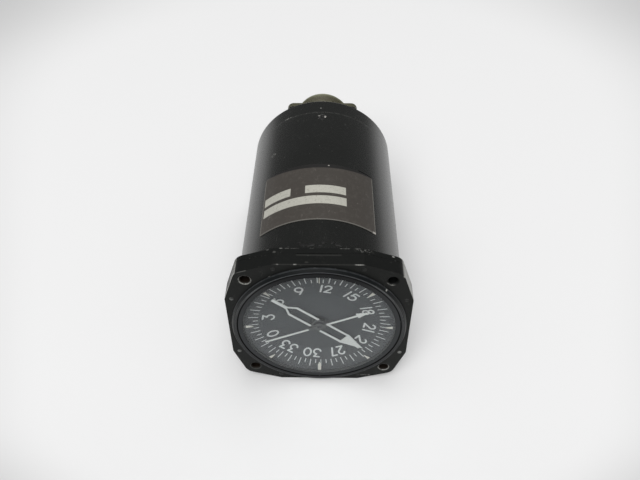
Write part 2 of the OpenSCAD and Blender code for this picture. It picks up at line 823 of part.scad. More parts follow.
// Two bars from the hub, an arrowhead at one end and a single bar at the other
module double_bar_pointer() {
    half = bar_spacing / 2;
    head_base = 14.9;
    head_half = 3.7;
    fork = 15.3;
    neck = 19;
    tail_half = 0.85;
    collar_t = 1.2;
    w = double_w;
    color("#e4e4dc") difference() {
        union() {
            clockwise(double_angle) plate(y_double, y_double + pointer_t) {
                circle(r = half + w / 2);
                for (s = [-1, 1]) {
                    translate([s * half - w / 2, -fork]) square([w, fork + head_base + 0.5]);
                    polygon([[s * (half + w / 2), -fork], [s * (half - w / 2), -fork],
                        [-s * 0.1, -neck], [s * tail_half, -neck]]);
                }
                polygon([[-head_half, head_base], [head_half, head_base], [0, double_tip]]);
                translate([-tail_half, -double_tip]) square([2 * tail_half, double_tip - neck + 0.2]);
            }
            bar(y_double, y_double + collar_t, hollow_r + 0.8);
        }
        bar(y_double - 1, y_double + 3, hollow_r);
    }
}

module single_pointer_shaft() {
    color("#c2c4c4") {
        bar(y_single - 0.1, y_synchro - pilot_len, shaft_r);
        bar(y_synchro - pilot_len - 0.5, y_synchro + synchro_len + 1, rotor_shaft_r);
    }
}

module double_pointer_shaft() {
    color("#c2c4c4") sleeve(y_double, y_middle + middle_bearing_w, hollow_r, hollow_in_r);
}

module double_shaft_bushes() {
    color("#a8793a") for (y = [y_double, y_middle + middle_bearing_w - bush_len]) {
        sleeve(y, y + bush_len, hollow_in_r, shaft_r + running_clr);
    }
}

module double_pointer_gear() {
    color("#b08d3c") spur_gear(synchro_teeth, synchro_module, 3, 0, hollow_r, hollow_r + 1.6, 0.8);
}

module double_shaft_bearing() {
    color("#9a9d9c") bearing(y_middle, middle_bearing_w, middle_bearing_r, hollow_r);
}

// A rotor stack with its winding slots and two slip rings, on the unit's own axis
module rotor_stack(rings) {
    y0 = y_synchro + cavity_y + 3;
    y1 = y_synchro + synchro_len - 8;
    slot_at = 2.2;
    slot_w = 1.2;
    ring_r = 2.4;
    ring_w = 1;
    ring_step = 2;
    difference() {
        bar(y0, y1, rotor_r);
        for (s = [-1, 1]) translate([s * slot_at - slot_w / 2, y0 - 1, 0]) {
            translate([0, 0, -rotor_r]) cube([slot_w, y1 - y0 + 2, rotor_r - slot_at]);
            translate([0, 0, slot_at]) cube([slot_w, y1 - y0 + 2, rotor_r]);
        }
        bar(y0 - 1, y1 + 1, rotor_shaft_r);
    }
    if (rings > 0) for (k = [0:rings - 1]) {
        y_ring = y1 + 1.5 + k * ring_step;
        sleeve(y_ring, y_ring + ring_w, ring_r, rotor_shaft_r);
    }
}

module single_synchro_rotor() {
    color("#9c5a30") rotor_stack(2);
}

module double_synchro_rotor() {
    color("#9c5a30") at(pointer_at) rotor_stack(2);
}

module heading_synchro_rotor() {
    color("#9c5a30") at(heading_at) rotor_stack(2);
}

module motor_rotor() {
    color("#7d8080") at(motor_at) rotor_stack(0);
}

// Shaft of an off-axis unit, from its gear's level to the end of its housing
module unit_shaft(k) {
    bar(level(k) - 0.4, y_synchro + synchro_len + 1, rotor_shaft_r);
}

module double_synchro_shaft() {
    color("#c2c4c4") at(pointer_at) unit_shaft(3);
}

module heading_synchro_shaft() {
    color("#c2c4c4") at(heading_at) unit_shaft(2);
}

module motor_shaft() {
    color("#c2c4c4") at(motor_at) unit_shaft(1);
}

module double_synchro_gear() {
    turn = mesh_turn(pointer_dir, synchro_teeth, synchro_teeth, 0);
    color("#b08d3c") at(pointer_at) {
        spur_gear(synchro_teeth, synchro_module, 3, turn, rotor_shaft_r, 3, 0.6);
    }
}

module heading_synchro_gear() {
    turn = mesh_turn(heading_dir, synchro_teeth, synchro_teeth, 0);
    color("#b08d3c") at(heading_at) {
        spur_gear(synchro_teeth, synchro_module, 2, turn, rotor_shaft_r, 3, 0.6);
    }
}

// The reduction pinion meshes with the card gear, and its gear with the motor pinion
reduction_pinion_turn = mesh_turn(reduction_dir, card_teeth, pinion_teeth, 0);
motor_dir_from_reduction = atan2(motor_at[1] - reduction_at[1], motor_at[0] - reduction_at[0]);
motor_pinion_turn = mesh_turn(motor_dir_from_reduction, reduction_teeth, pinion_teeth, 0);

module reduction_pinion() {
    color("#c9a75a") at(reduction_at) {
        spur_gear(pinion_teeth, drive_module, 0, reduction_pinion_turn, rotor_shaft_r);
    }
}

module reduction_gear() {
    color("#b08d3c") at(reduction_at) difference() {
        spur_gear(reduction_teeth, drive_module, 1, 0, rotor_shaft_r);
        web_holes(1, 5, reduction_r / 2 + 0.6, reduction_r / 2 - 3.2);
    }
}

module motor_pinion() {
    color("#c9a75a") at(motor_at) {
        spur_gear(pinion_teeth, drive_module, 1, motor_pinion_turn, rotor_shaft_r);
    }
}

module reduction_shaft() {
    color("#c2c4c4") at(reduction_at) bar(y_front_plate + 0.4, y_middle + 1.6, rotor_shaft_r);
}

module reduction_bushes() {
    color("#a8793a") at(reduction_at) {
        sleeve(y_front_plate, y_front_plate + plate_thick, bush_r, rotor_shaft_r + running_clr);
        sleeve(y_middle, y_middle + rear_bush_len, bush_r, rotor_shaft_r + running_clr);
    }
}

frame_screw_places = [for (a = [45:90:315]) polar((web_r + spigot_in_r) / 2, a)];

module front_plate() {
    color("#8f9291") difference() {
        union() {
            bar(y_front_plate, y_front_plate + plate_thick, frame_d / 2);
            bar(y_boss, y_front_plate + 1, boss_r);
        }
        bar(y_boss - 1, y_front_plate + plate_thick + 1, card_tube_r + 0.7);
        bar(y_boss - 1, y_boss + card_bearing_w, card_bearing_r + seat_clr);
        bar(y_front_plate + plate_thick - card_bearing_w, y_front_plate + plate_thick + 1,
            card_bearing_r + seat_clr);
        at(reduction_at) bar(y_front_plate - 1, y_front_plate + plate_thick + 1, bush_r + seat_clr);
        for (p = frame_screw_places) at(p) {
            bar(y_front_plate - 1, y_front_plate + plate_thick + 1, screw_hole_r);
        }
        for (p = front_post_places) at(p) {
            bar(y_front_plate - 1, y_front_plate + plate_thick + 1, post_spigot_r + seat_clr);
        }
    }
}

module middle_plate() {
    y1 = y_middle + middle_thick;
    color("#8f9291") difference() {
        bar(y_middle, y1, frame_d / 2);
        bar(y_middle - 1, y_middle + middle_bearing_w, middle_bearing_r + seat_clr);
        for (p = unit_places) at(p) {
            bar(y_middle - 1, y1 + 1, hollow_r + 0.3);
            bar(y1 - pilot_len - seat_clr, y1 + 1, pilot_r + seat_clr);
        }
        at(reduction_at) bar(y_middle - 1, y_middle + rear_bush_len, bush_r + seat_clr);
        for (p = front_post_places) at(p) bar(y_middle - 1, y1 + 1, post_spigot_r + seat_clr);
        for (p = rear_post_places) at(p) bar(y_middle - 1, y1 + 1, post_spigot_r + seat_clr);
        for (p = clamp_places) at(p) bar(y1 - 2, y1 + 1, clamp_screw_r);
    }
}

module rear_plate() {
    y1 = y_rear_plate + plate_thick;
    color("#8f9291") difference() {
        bar(y_rear_plate, y1, frame_d / 2);
        for (p = unit_places) at(p) bar(y_rear_plate - 1, y1 + 1, lead_hole_r);
        for (p = rear_post_places) at(p) bar(y_rear_plate - 1, y1 + 1, post_spigot_r + seat_clr);
    }
}

// A shouldered post between two plates, with a spigot in each
module post(y0, y1, spigot_0, spigot_1) {
    bar(y0, y1, post_d / 2);
    bar(y0 - spigot_0, y1 + spigot_1, post_spigot_r);
}

module frame_posts() {
    color("#a8aaa8") {
        for (p = front_post_places) at(p) {
            post(y_front_plate + plate_thick, y_middle, plate_thick, middle_thick);
        }
        for (p = rear_post_places) at(p) {
            post(y_middle + middle_thick, y_rear_plate, middle_thick, plate_thick);
        }
    }
}

module frame_screws() {
    y0 = y_front_plate + plate_thick;
    head_r = 2.4;
    head_t = 1.6;
    slot_depth = 0.7;
    color("#6e706c") for (p = frame_screw_places) at(p) difference() {
        union() {
            bar(-1.2, y0 + 0.5, shank_r);
            bar(y0, y0 + head_t, head_r);
        }
        driver_slot(y0 + head_t - slot_depth, y0 + 3, head_r);
    }
}

// Hollow housing with a pilot, a clamping rim and groove, and a shaft hole at each end
module unit_housing() {
    difference() {
        union() {
            bar(y_synchro - pilot_len, y_synchro + 1, pilot_r);
            bar(y_synchro, y_synchro + synchro_len, synchro_r);
        }
        spun() translate([synchro_r - groove_depth, y_synchro + rim_t]) {
            square([groove_depth + 1, groove_w]);
        }
        bar(y_synchro + cavity_y, y_synchro + synchro_len - end_wall, cavity_r);
        bar(y_synchro - pilot_len - 1, y_synchro + synchro_len + 1, rotor_shaft_r + running_clr);
    }
}

module synchro_housings() {
    color("#b4b6b2") for (p = synchro_places) at(p) unit_housing();
}

module motor_housing() {
    color("#8d9096") at(motor_at) unit_housing();
}

// Stator ring with its winding slots
module stator() {
    y0 = y_synchro + cavity_y + 2;
    y1 = y_synchro + synchro_len - 7;
    slots = 12;
    slot_w = 1.1;
    slot_depth = 1.6;
    difference() {
        sleeve(y0, y1, cavity_r, stator_in_r);
        for (k = [0:slots - 1]) clockwise(k * 360 / slots) {
            translate([-slot_w / 2, y0 - 1, stator_in_r - 1]) {
                cube([slot_w, y1 - y0 + 2, 1 + slot_depth]);
            }
        }
    }
}

module synchro_stators() {
    color("#8a4b2a") for (p = synchro_places) at(p) stator();
}

module motor_stator() {
    color("#6b6f73") at(motor_at) stator();
}

// Clamps stand round each unit where its neighbours leave room
clamp_turn = 75;
clamp_screw_r = 0.8;
clamp_head_r = 1.5;
clamp_t = 1;
clamp_head_t = 1;
function around(place, dirs) = [for (a = dirs) place + polar(clamp_reach, a)];
clamp_places = concat(
    around(main_at, [90:120:330]),
    around(pointer_at, [pointer_dir - clamp_turn, pointer_dir + clamp_turn]),
    around(heading_at, [heading_dir - clamp_turn, heading_dir + clamp_turn]),
    around(motor_at, [motor_dir - clamp_turn, motor_dir + clamp_turn]));

// A stepped washer whose edge reaches into the housing's groove, with its screw
module synchro_clamps() {
    y0 = y_synchro;
    y1 = y_synchro + rim_t + seat_clr;
    y2 = y1 + clamp_t;
    y3 = y2 + clamp_head_t;
    color("#7a7d7c") for (p = clamp_places) at(p) difference() {
        union() {
            bar(y0, y1, clamp_foot_r);
            bar(y1, y2, clamp_r);
            bar(y0 - 1.6, y3, clamp_screw_r - seat_clr);
            bar(y2, y3, clamp_head_r);
        }
        driver_slot(y3 - 0.4, y3 + 1, clamp_head_r);
    }
}

// Round board with post holes
module board(y0) {
    difference() {
        bar(y0, y0 + board_t, board_d / 2);
        for (p = board_post_places) at(p) bar(y0 - 1, y0 + board_t + 1, post_spigot_r + seat_clr);
    }
}

board_post_places = [for (a = [45:90:315]) polar(board_d / 2 - 4.5, a)];

module amplifier_board() {
    color("#4a6b3a") board(y_amplifier);
}

module terminal_board() {
    color("#7a6a3a") board(y_terminal);
}

// Power transformer, two output transistors, three capacitors and a row of resistors
module amplifier_parts() {
    y0 = y_amplifier + board_t;
    core_w = 18;
    core_h = 15;
    coil_w = 12;
    coil_h = 19;
    transformer_t = 13;
    transformer_x = -15;
    transformer_z = 1.5;
    color("#3a3c3e") at([transformer_x, transformer_z]) {
        translate([-core_w / 2, y0, -core_h / 2]) cube([core_w, transformer_t, core_h]);
        translate([-coil_w / 2, y0, -coil_h / 2]) cube([coil_w, transformer_t, coil_h]);
    }
    transistor_r = 4;
    transistor_t = 6.5;
    color("#a0a3a5") for (k = [0:1]) at([2 + 11 * k, -16]) {
        bar(y0, y0 + 1, transistor_r + 0.6);
        bar(y0, y0 + transistor_t, transistor_r);
    }
    capacitor_r = 3.6;
    capacitor_t = 11;
    color("#3d5578") for (k = [0:2]) at([2 + 10 * k, 12]) bar(y0, y0 + capacitor_t, capacitor_r);
    resistor_r = 1.1;
    resistor_l = 6;
    lead_r = 0.35;
    lead_z = resistor_l / 2 + 0.2;
    y_resistor = y0 + resistor_r + 0.1;
    color("#a88a5c") for (k = [0:4]) at([2 + 4.5 * k, -2]) {
        translate([0, y_resistor, -resistor_l / 2]) cylinder(h = resistor_l, r = resistor_r);
        translate([0, y_resistor, -lead_z - 0.2]) cylinder(h = 2 * lead_z + 0.4, r = lead_r);
        for (s = [-1, 1]) at([0, s * lead_z]) bar(y0, y_resistor + 0.2, lead_r);
    }
}

// Two rows of posts that carry the boards, with spigots through them
module board_posts() {
    y0 = y_rear_plate + plate_thick;
    nut_t = 1.5;
    color("#a8aaa8") for (p = board_post_places) at(p) {
        post(y0, y_amplifier, 0, board_t / 2);
        post(y_amplifier + board_t, y_terminal, board_t / 2, board_t);
        bar(y_terminal + board_t, y_terminal + board_t + nut_t, post_d / 2);
    }
}

front_bezel();
mounting_flange();
bezel_screws();
glass_retaining_ring();
cover_glass();
index_ring();
glass_gasket();
case_tube();
nameplate();
rear_cap();
rear_cap_seal();
rear_cap_screws();
connector_gasket();
connector_shell();
connector_insert();
connector_pins();
connector_screws();
connector_wires();
compass_card();
card_hub();
card_tube();
card_bushes();
card_drive_gear();
heading_takeoff_gear();
card_bearings();
single_bar_pointer();
single_pointer_shaft();
single_synchro_rotor();
double_bar_pointer();
double_pointer_shaft();
double_shaft_bushes();
double_pointer_gear();
double_shaft_bearing();
double_synchro_shaft();
double_synchro_gear();
double_synchro_rotor();
heading_synchro_shaft();
heading_synchro_gear();
heading_synchro_rotor();
motor_shaft();
motor_pinion();
motor_rotor();
reduction_shaft();
reduction_gear();
reduction_pinion();
reduction_bushes();
front_plate();
middle_plate();
rear_plate();
frame_posts();
frame_screws();
synchro_housings();
motor_housing();
synchro_stators();
motor_stator();
synchro_clamps();
amplifier_board();
amplifier_parts();
terminal_board();
board_posts();
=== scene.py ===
"""Looks of the radio magnetic indicator: finishes, dial markings, connector thread, floor and light.

The row frame is used throughout: the origin is the centre of the panel seat, +Y runs to the rear
and +Z is up. Sizes are written in millimetres and turned into metres where a mesh is made.
An angle on the dial is counted clockwise from the top, as seen from the front.
"""
import json
import math
import random

import bmesh
import bpy
from mathutils import Matrix, Vector


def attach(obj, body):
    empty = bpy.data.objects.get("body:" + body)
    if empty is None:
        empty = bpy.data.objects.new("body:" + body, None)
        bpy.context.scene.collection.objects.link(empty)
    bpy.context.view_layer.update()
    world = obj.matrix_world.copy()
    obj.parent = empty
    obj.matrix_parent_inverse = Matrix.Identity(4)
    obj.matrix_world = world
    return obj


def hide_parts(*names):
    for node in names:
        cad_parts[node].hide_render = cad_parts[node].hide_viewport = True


MM = 0.001

# Flange and bezel
FACE_Y = -9.6
FLANGE_HALF = 41.3
HOLE_AT = 31.431
HOLE_R = 2.05
CHAMFER_R = 2.8
SIDE_X = 35.3
TOP_SLOPE = 18.54
SIDE_SLOPE = 65.1
TOP_EDGE = (FLANGE_HALF - 0.35, FLANGE_HALF + 0.5)
SLOT_Y = -3.7
LIP_IN_R = 38.5
LIP_R = 39.7
RING_BORE_R = 37.15
BORDER_IN_R = 34.75
BORDER_OUT_R = 37.12

# Case, cap and nameplate
CASE_R = 39.5
CASE_END = 106.9
PLATE_R = 39.85
PLATE_START = 19.9
PLATE_END = 60.4
PLATE_LEFT = -44
PLATE_RIGHT = 40
PLATE_EDGE = 0.45
MARGIN_BOW = 3
MARGIN_SPAN = 29

# Bare fields of the nameplate: from and to round the tube, and from and to along it
PLATE_FIELDS = (((-7.2, 12.3), (38.5, 44)), ((-29.3, 12.5), (30.7, 36.3)), ((-29.3, -14.5), (38.5, 44.1)))

# Dial
CARD_FLAT_R = 20
CARD_RIM_R = 33.5
CARD_Y = -5.65
CARD_RIM_Y = -7.75
DIAL_BACK = -4.6
CARD_TURN = 8.7
GLASS_R = 37.7
GLASS_FRONT = -10.9
GLASS_REAR = -9.14
SINGLE_ANGLE = 65
DOUBLE_ANGLE = 130.2

# Connector
CONN_Z = 15.7
SHELL_R = 15.875
SHELL_ROOT_R = 15.1
CONN_FLANGE_END = 122.7
THREAD_PITCH = 1.41
THREAD_START = 124.7
THREAD_END = 139.4

# Paint and metal colours, linear
BLACK = (0.005, 0.0056, 0.0054)
BARE_METAL = (0.58, 0.58, 0.55)

# Rubbed runs on the flange's top edges: start, end, softness and share of bare metal
REAR_RUNS = ((-16.7, -15.5, 0.25, 1), (-14.4, -12.8, 0.3, 0.45), (-11.9, -8.6, 0.4, 0.25),
             (-3.8, -2.4, 0.4, 0.22), (9, 12.9, 0.5, 0.42), (15.4, 17.3, 0.4, 0.5))
FRONT_RUNS = ((-17.6, -16.7, 0.2, 0.35), (-10.4, -9.2, 0.2, 0.55), (-19, 15, 0.4, 0.035))

# Marks on the flange's top: x, y, half length, half width and share of bare metal
TOP_MARKS = ((31.7, -0.7, 0.55, 0.4, 0.75), (-21.8, -0.3, 0.6, 0.35, 0.16), (-18.8, -2.4, 0.7, 0.6, 0.12),
             (-5, -8.3, 0.8, 0.45, 0.05))


class Shader:
    """One node material. Its calls return sockets, and positions in it are in millimetres."""

    def __init__(self, name):
        self.material = bpy.data.materials.new(name)
        self.material.use_nodes = True
        self.tree = self.material.node_tree
        self.tree.nodes.clear()
        self.output = self.node("ShaderNodeOutputMaterial")
        self.surface = self.node("ShaderNodeBsdfPrincipled")
        self.feed(self.output.inputs["Surface"], self.surface.outputs[0])
        coordinates = self.node("ShaderNodeTexCoord").outputs["Object"]
        scaled = {0: coordinates, "Scale": 1 / MM}
        self.place = self.result("ShaderNodeVectorMath", scaled, operation="SCALE")
        apart = self.node("ShaderNodeSeparateXYZ")
        self.feed(apart.inputs[0], self.place)
        self.x, self.y, self.z = apart.outputs

    def node(self, kind, **settings):
        made = self.tree.nodes.new(kind)
        for name, value in settings.items():
            setattr(made, name, value)
        return made

    def feed(self, socket, value):
        """Links a socket, or sets its value. One number stands for a grey where a colour is due."""
        if isinstance(value, bpy.types.NodeSocket):
            self.tree.links.new(value, socket)
        elif socket.type == "RGBA":
            socket.default_value = (*value, 1) if isinstance(value, tuple) else (value, value, value, 1)
        else:
            socket.default_value = value

    def result(self, kind, inputs, output=0, **settings):
        """Adds a node, feeds its inputs by name or number and returns one of its outputs."""
        made = self.node(kind, **settings)
        for key, value in inputs.items():
            self.feed(made.inputs[key], value)
        return made.outputs[output]

    def set(self, **inputs):
        """Feeds inputs of the main shader, with spaces in their names written as underlines."""
        for name, value in inputs.items():
            self.feed(self.surface.inputs[name.replace("_", " ")], value)

    def coat(self, colour, shine=0.5, **inputs):
        """Sets the colour, the shine and other inputs of the main shader, and returns the material."""
        self.set(Base_Color=colour, Specular_IOR_Level=shine, **inputs)
        return self.material

    def math(self, operation, a, b=0, c=0):
        return self.result("ShaderNodeMath", {0: a, 1: b, 2: c}, operation=operation)

    def add(self, a, b):
        return self.math("ADD", a, b)

    def times(self, *values):
        product = values[0]
        for value in values[1:]:
            product = self.math("MULTIPLY", product, value)
        return product

    def less(self, a, b):
        return self.math("SUBTRACT", a, b)

    def most(self, *values):
        top = values[0]
        for value in values[1:]:
            top = self.math("MAXIMUM", top, value)
        return top

    def size(self, value):
        """The value without its sign."""
        return self.math("ABSOLUTE", value)

    def inverse(self, value):
        return self.less(1, value)

    def step(self, value, low, high):
        """Goes smoothly from 0 at low to 1 at high. Low may be the larger."""
        ends = (low, high, 0, 1) if low < high else (high, low, 1, 0)
        return self.result("ShaderNodeMapRange", dict(enumerate((value, *ends))),
                           interpolation_type="SMOOTHSTEP")

    def fit(self, value, low, high):
        """Turns 0 to 1 into low to high."""
        return self.math("MULTIPLY_ADD", value, high - low, low)

    def band(self, value, low, high, soft):
        """1 between low and high, with soft edges."""
        past_low = self.step(value, low - soft, low + soft)
        return self.times(past_low, self.step(value, high + soft, high - soft))

    def box(self, x=None, y=None, z=None, soft=0.2):
        """1 inside a box given by its ranges."""
        given = [(value, limits) for value, limits in ((self.x, x), (self.y, y), (self.z, z)) if limits]
        return self.times(*(self.band(value, *limits, soft) for value, limits in given))

    def length(self, a, b):
        return self.math("SQRT", self.add(self.times(a, a), self.times(b, b)))

    def distance(self, x0, z0):
        """Distance in the dial's plane from a point."""
        return self.length(self.less(self.x, x0), self.less(self.z, z0))

    def spot(self, x0, z0, radius, soft=0.1):
        return self.step(self.distance(x0, z0), radius + soft, radius - soft)

    def angle(self):
        """Degrees clockwise from the top."""
        return self.times(self.math("ARCTAN2", self.x, self.z), 180 / math.pi)

    def ripple(self, value, rate):
        """A wave from -1 to 1 whose phase is the value times the rate, in radians."""
        return self.math("SINE", self.times(value, rate))

    def stretched(self, *factors):
        return self.result("ShaderNodeVectorMath", {0: self.place, 1: factors}, operation="MULTIPLY")

    def noise(self, scale, detail=3, roughness=0.5, vector=None, distortion=0):
        return self.result("ShaderNodeTexNoise", {
            "Vector": vector or self.place, "Scale": scale, "Detail": detail, "Roughness": roughness,
            "Distortion": distortion})

    def patches(self, scale, low, high, detail=4, roughness=0.6):
        """Uneven patches: noise that goes from 0 at low to 1 at high."""
        return self.step(self.noise(scale, detail, roughness), low, high)

    def uneven(self, scale, low, high, least, most=1, detail=4, roughness=0.6):
        """Patches that go from least to most."""
        return self.fit(self.patches(scale, low, high, detail, roughness), least, most)

    def specks(self, scale, size):
        """Small scattered dots: scale in cells per millimetre, size as a part of a cell."""
        cells = self.result("ShaderNodeTexVoronoi", {"Vector": self.place, "Scale": scale}, "Distance")
        return self.step(cells, size, size * 0.6)

    def scratches(self, scale, stretch, width, amount):
        """Thin lines along the stretched way. Amount from 0 to 1 sets how much of them shows."""
        grain = self.noise(scale, 2, 0.5, self.stretched(*stretch), 0.4)
        line = self.step(self.size(self.less(grain, 0.5)), width, width * 0.3)
        shown = self.step(self.noise(scale * 0.35, 2), 0.62 - 0.2 * amount, 0.72 - 0.2 * amount)
        return self.times(line, shown)

    def mix(self, factor, a, b):
        """From one colour at 0 to another at 1."""
        return self.result("ShaderNodeMix", {0: factor, 6: a, 7: b}, 2, data_type="RGBA")

    def blend(self, factor, a, b):
        """From one number at 0 to another at 1."""
        return self.result("ShaderNodeMix", {0: factor, 2: a, 3: b}, data_type="FLOAT")

    def rounded(self, radius):
        """The normal with its sharp edges rounded."""
        return self.result("ShaderNodeBevel", {"Radius": radius * MM}, samples=4)

    def edges(self, radius):
        """1 on sharp edges, 0 away from them."""
        normals = {0: self.rounded(radius), 1: self.node("ShaderNodeNewGeometry").outputs["Normal"]}
        likeness = self.result("ShaderNodeVectorMath", normals, "Value", operation="DOT_PRODUCT")
        return self.step(likeness, 0.995, 0.94)

    def bump(self, height, distance, normal=None):
        """A bump whose height of 0 to 1 stands for a distance in millimetres."""
        inputs = {"Strength": 1, "Distance": distance * MM, "Height": height}
        if normal is not None:
            inputs["Normal"] = normal
        return self.result("ShaderNodeBump", inputs)

    def grained(self, scale, distance, radius=None):
        """The normal of a grained surface, with its sharp edges rounded where a radius is given."""
        return self.bump(self.noise(scale), distance, None if radius is None else self.rounded(radius))


def black_enamel():
    """Black paint on aluminium: smooth on the case, matter on the flange, worn bare in places, with painted
    glints, highlight lines and shadow.
    """
    s = Shader("black_enamel_worn")
    sides = s.most(s.step(s.x, SIDE_X, SIDE_X + 0.8), s.times(s.step(s.x, -SIDE_X, -SIDE_X - 0.8), 0.3))
    on_side = s.times(sides, s.step(s.y, FACE_Y + 0.02, FACE_Y + 0.2))
    smooth = s.most(s.step(s.y, 0.1, 0.5), on_side)
    dust = s.noise(0.9, 6, 0.7)
    dusty = s.blend(s.step(s.y, 50, 119), 0.25, 0.75)
    marks = s.scratches(0.35, (1, 0.22, 1), 0.006, 0.35)
    colour = s.mix(s.noise(0.07), BLACK, (0.0082, 0.009, 0.0087))
    colour = s.mix(s.times(s.step(dust, 0.5, 0.85), dusty), colour, (0.038, 0.038, 0.035))
    colour = s.mix(s.times(s.specks(0.22, 0.07), 0.3), colour, (0.13, 0.13, 0.12))
    colour = s.mix(s.times(marks, 0.3), colour, (0.09, 0.09, 0.085))

    chamfers = hole_chamfers(s)
    # The bare colour is wear and also painted highlights: glints, the slot's lip line, the seam's edge, the
    # right facet's sheen and a chamfer's lit arc.
    bare = s.most(chamfers, rear_edge_wear(s), front_edge_wear(s), side_wear_and_sheen(s), chips_and_glints(s), case_marks_and_glints(s))
    in_hole = s.times(s.step(hole_distance(s), HOLE_R + 0.35, HOLE_R + 0.25), s.inverse(chamfers))
    hole_tone = s.mix(upper_right(s), (0.01, 0.007, 0.005), (0.0035, 0.004, 0.004))
    colour = s.mix(in_hole, colour, hole_tone)
    colour = s.mix(bare, colour, s.mix(s.noise(2.5), (0.4, 0.4, 0.37), BARE_METAL))

    radius = s.distance(0, 0)
    past_ring = s.step(radius, LIP_IN_R - 0.3, LIP_IN_R - 0.1)
    on_lip = s.times(s.step(s.y, FACE_Y - 0.05, FACE_Y - 0.15), past_ring)
    colour = s.mix(s.times(on_lip, s.inverse(bare)), colour, lip_tone(s, radius))
    upper_lip = s.times(on_lip, s.step(s.z, 28, 35))
    smooth = s.most(smooth, s.blend(upper_lip, s.times(on_lip, 0.5), 0.1))

    # Painted highlight: a light uneven line round the rear seam, where its edge catches the light.
    seam_glint = s.times(s.band(s.y, CASE_END - 0.6, CASE_END + 0.6, 0.3), s.uneven(0.5, 0.35, 0.65, 0.05, 0.42))
    colour = s.mix(seam_glint, colour, (0.06, 0.061, 0.057))
    # Painted shadow: a near-black line on the case behind the nameplate's lifted corner, which also dulls
    # the shine there.
    plate_lift_shadow = s.times(s.band(s.angle(), 28, 40.5, 1), s.band(s.y, PLATE_END, PLATE_END + 1.3, 0.3))
    colour = s.mix(plate_lift_shadow, colour, 0.001)
    dulled = s.most(s.times(plate_lift_shadow, 0.8), s.times(upper_lip, 0.5))
    shine = s.times(s.blend(smooth, 0.14, 0.4), s.inverse(dulled))

    grain = s.times(s.noise(3.2, 3, 0.6), s.blend(smooth, 0.5, 0.15))
    height = s.add(grain, s.times(bare, -1.2))
    roughness = s.blend(smooth, s.fit(dust, 0.42, 0.62), s.fit(dust, 0.2, 0.34))
    return s.coat(colour, Metallic=s.times(bare, 0.5), shine=shine,
                  Specular_Tint=(1, 1, 0.94), Roughness=s.blend(bare, roughness, 0.4),
                  Normal=s.bump(height, 0.012, s.rounded(0.25)))


def lip_tone(s, radius):
    """The raised lip: a greyer, harder coat, with painted highlight lines along its crest and its foot."""
    coat = s.mix(s.noise(0.6, 4), (0.0042, 0.0052, 0.0058), (0.0075, 0.009, 0.01))
    # Painted highlights: light lines at the crest and the foot, stronger or weaker with height as the light
    # falls on them.
    crest_highlight = s.times(s.band(radius, LIP_IN_R - 0.05, LIP_IN_R + 0.12, 0.06), s.uneven(0.5, 0.35, 0.6, 0.4),
                    s.fit(s.step(s.z, 28, 35), 0.7, 1))
    foot_highlight = s.times(s.step(radius, LIP_R - 0.15, LIP_R - 0.04), s.uneven(0.45, 0.35, 0.6, 0.5),
                   s.fit(s.step(s.z, 34, 8), 0.45, 1))
    return s.mix(s.most(crest_highlight, foot_highlight), coat, (0.085, 0.09, 0.095))


def hole_distance(s):
    """Distance to the axis of the nearest panel hole."""
    return s.length(s.less(s.size(s.x), HOLE_AT), s.less(s.size(s.z), HOLE_AT))


def upper_right(s):
    """1 in the upper right quarter, as seen from the front."""
    return s.times(s.step(s.x, -1, 1), s.step(s.z, -1, 1))


def hole_chamfers(s):
    """The bare chamfers: full at two holes, nearly gone lower left, and at the upper right only the arc
    that faces the light, part wear and part painted highlight.
    """
    distance = hole_distance(s)
    ring = s.times(s.step(distance, CHAMFER_R + 0.1, CHAMFER_R - 0.06),
                   s.step(distance, CHAMFER_R - 0.45, CHAMFER_R - 0.22),
                   s.step(s.y, FACE_Y + 0.72, FACE_Y + 0.6))
    broken = s.uneven(1.3, 0.34, 0.56, 0.15, 0.55, 3, 0.5)
    lower_left = s.times(s.step(s.x, 1, -1), s.step(s.z, 1, -1))
    low_side = s.add(s.less(s.z, HOLE_AT), s.times(s.less(s.x, HOLE_AT), 0.35))
    # At the upper right hole the bare metal is painted only on the arc that faces the light: partly wear,
    # partly a painted highlight.
    lit_arc_highlight = s.times(s.step(low_side, -1.5, -2.7), s.uneven(1.1, 0.4, 0.55, 0.1, 0.32, 3, 0.5))
    return s.times(ring, s.blend(upper_right(s), s.blend(lower_left, broken, 0.08), lit_arc_highlight))


def oval(s, across, along, half_across, half_along):
    """1 in an oval, given the two distances from its middle."""
    u = s.times(across, 1 / half_across)
    v = s.times(along, 1 / half_along)
    return s.step(s.add(s.times(u, u), s.times(v, v)), 1.35, 0.65)


def flat_spot(s, x0, y0, half_x, half_y):
    """1 in a small oval on what faces up."""
    inside = oval(s, s.less(s.x, x0), s.less(s.y, y0), half_x, half_y)
    return s.times(inside, s.step(s.z, 34, 36))


def tube_spot(s, turn, angle, y0, half_across, half_y):
    """1 in a small oval on the case, at an angle from its top. Turn is the angle of each point."""
    across = s.times(s.less(turn, angle), math.radians(1) * CASE_R)
    return oval(s, across, s.less(s.y, y0), half_across, half_y)


def case_marks_and_glints(s):
    """Scuffs on the case, and a painted glint along the edge of its rear seam on the sides."""
    turn = s.angle()
    scuffed = s.patches(1.3, 0.46, 0.58, roughness=0.65)
    sides = s.most(s.band(turn, -82, -24, 6), s.band(turn, 34, 82, 6))
    # Painted highlight: a glint along the rear seam's edge, on the sides of the case only.
    seam_glint = s.times(s.band(s.y, CASE_END - 0.25, CASE_END + 0.12, 0.1), sides)
    return s.most(s.times(tube_spot(s, turn, -39.8, 79.7, 1.9, 1.2), scuffed, 0.25),
                  s.times(tube_spot(s, turn, -27.8, 107.5, 2.4, 0.4), scuffed, 0.7),
                  s.times(tube_spot(s, turn, -0.9, 111, 0.5, 0.4), 0.5),
                  s.times(seam_glint, scuffed, 0.1))


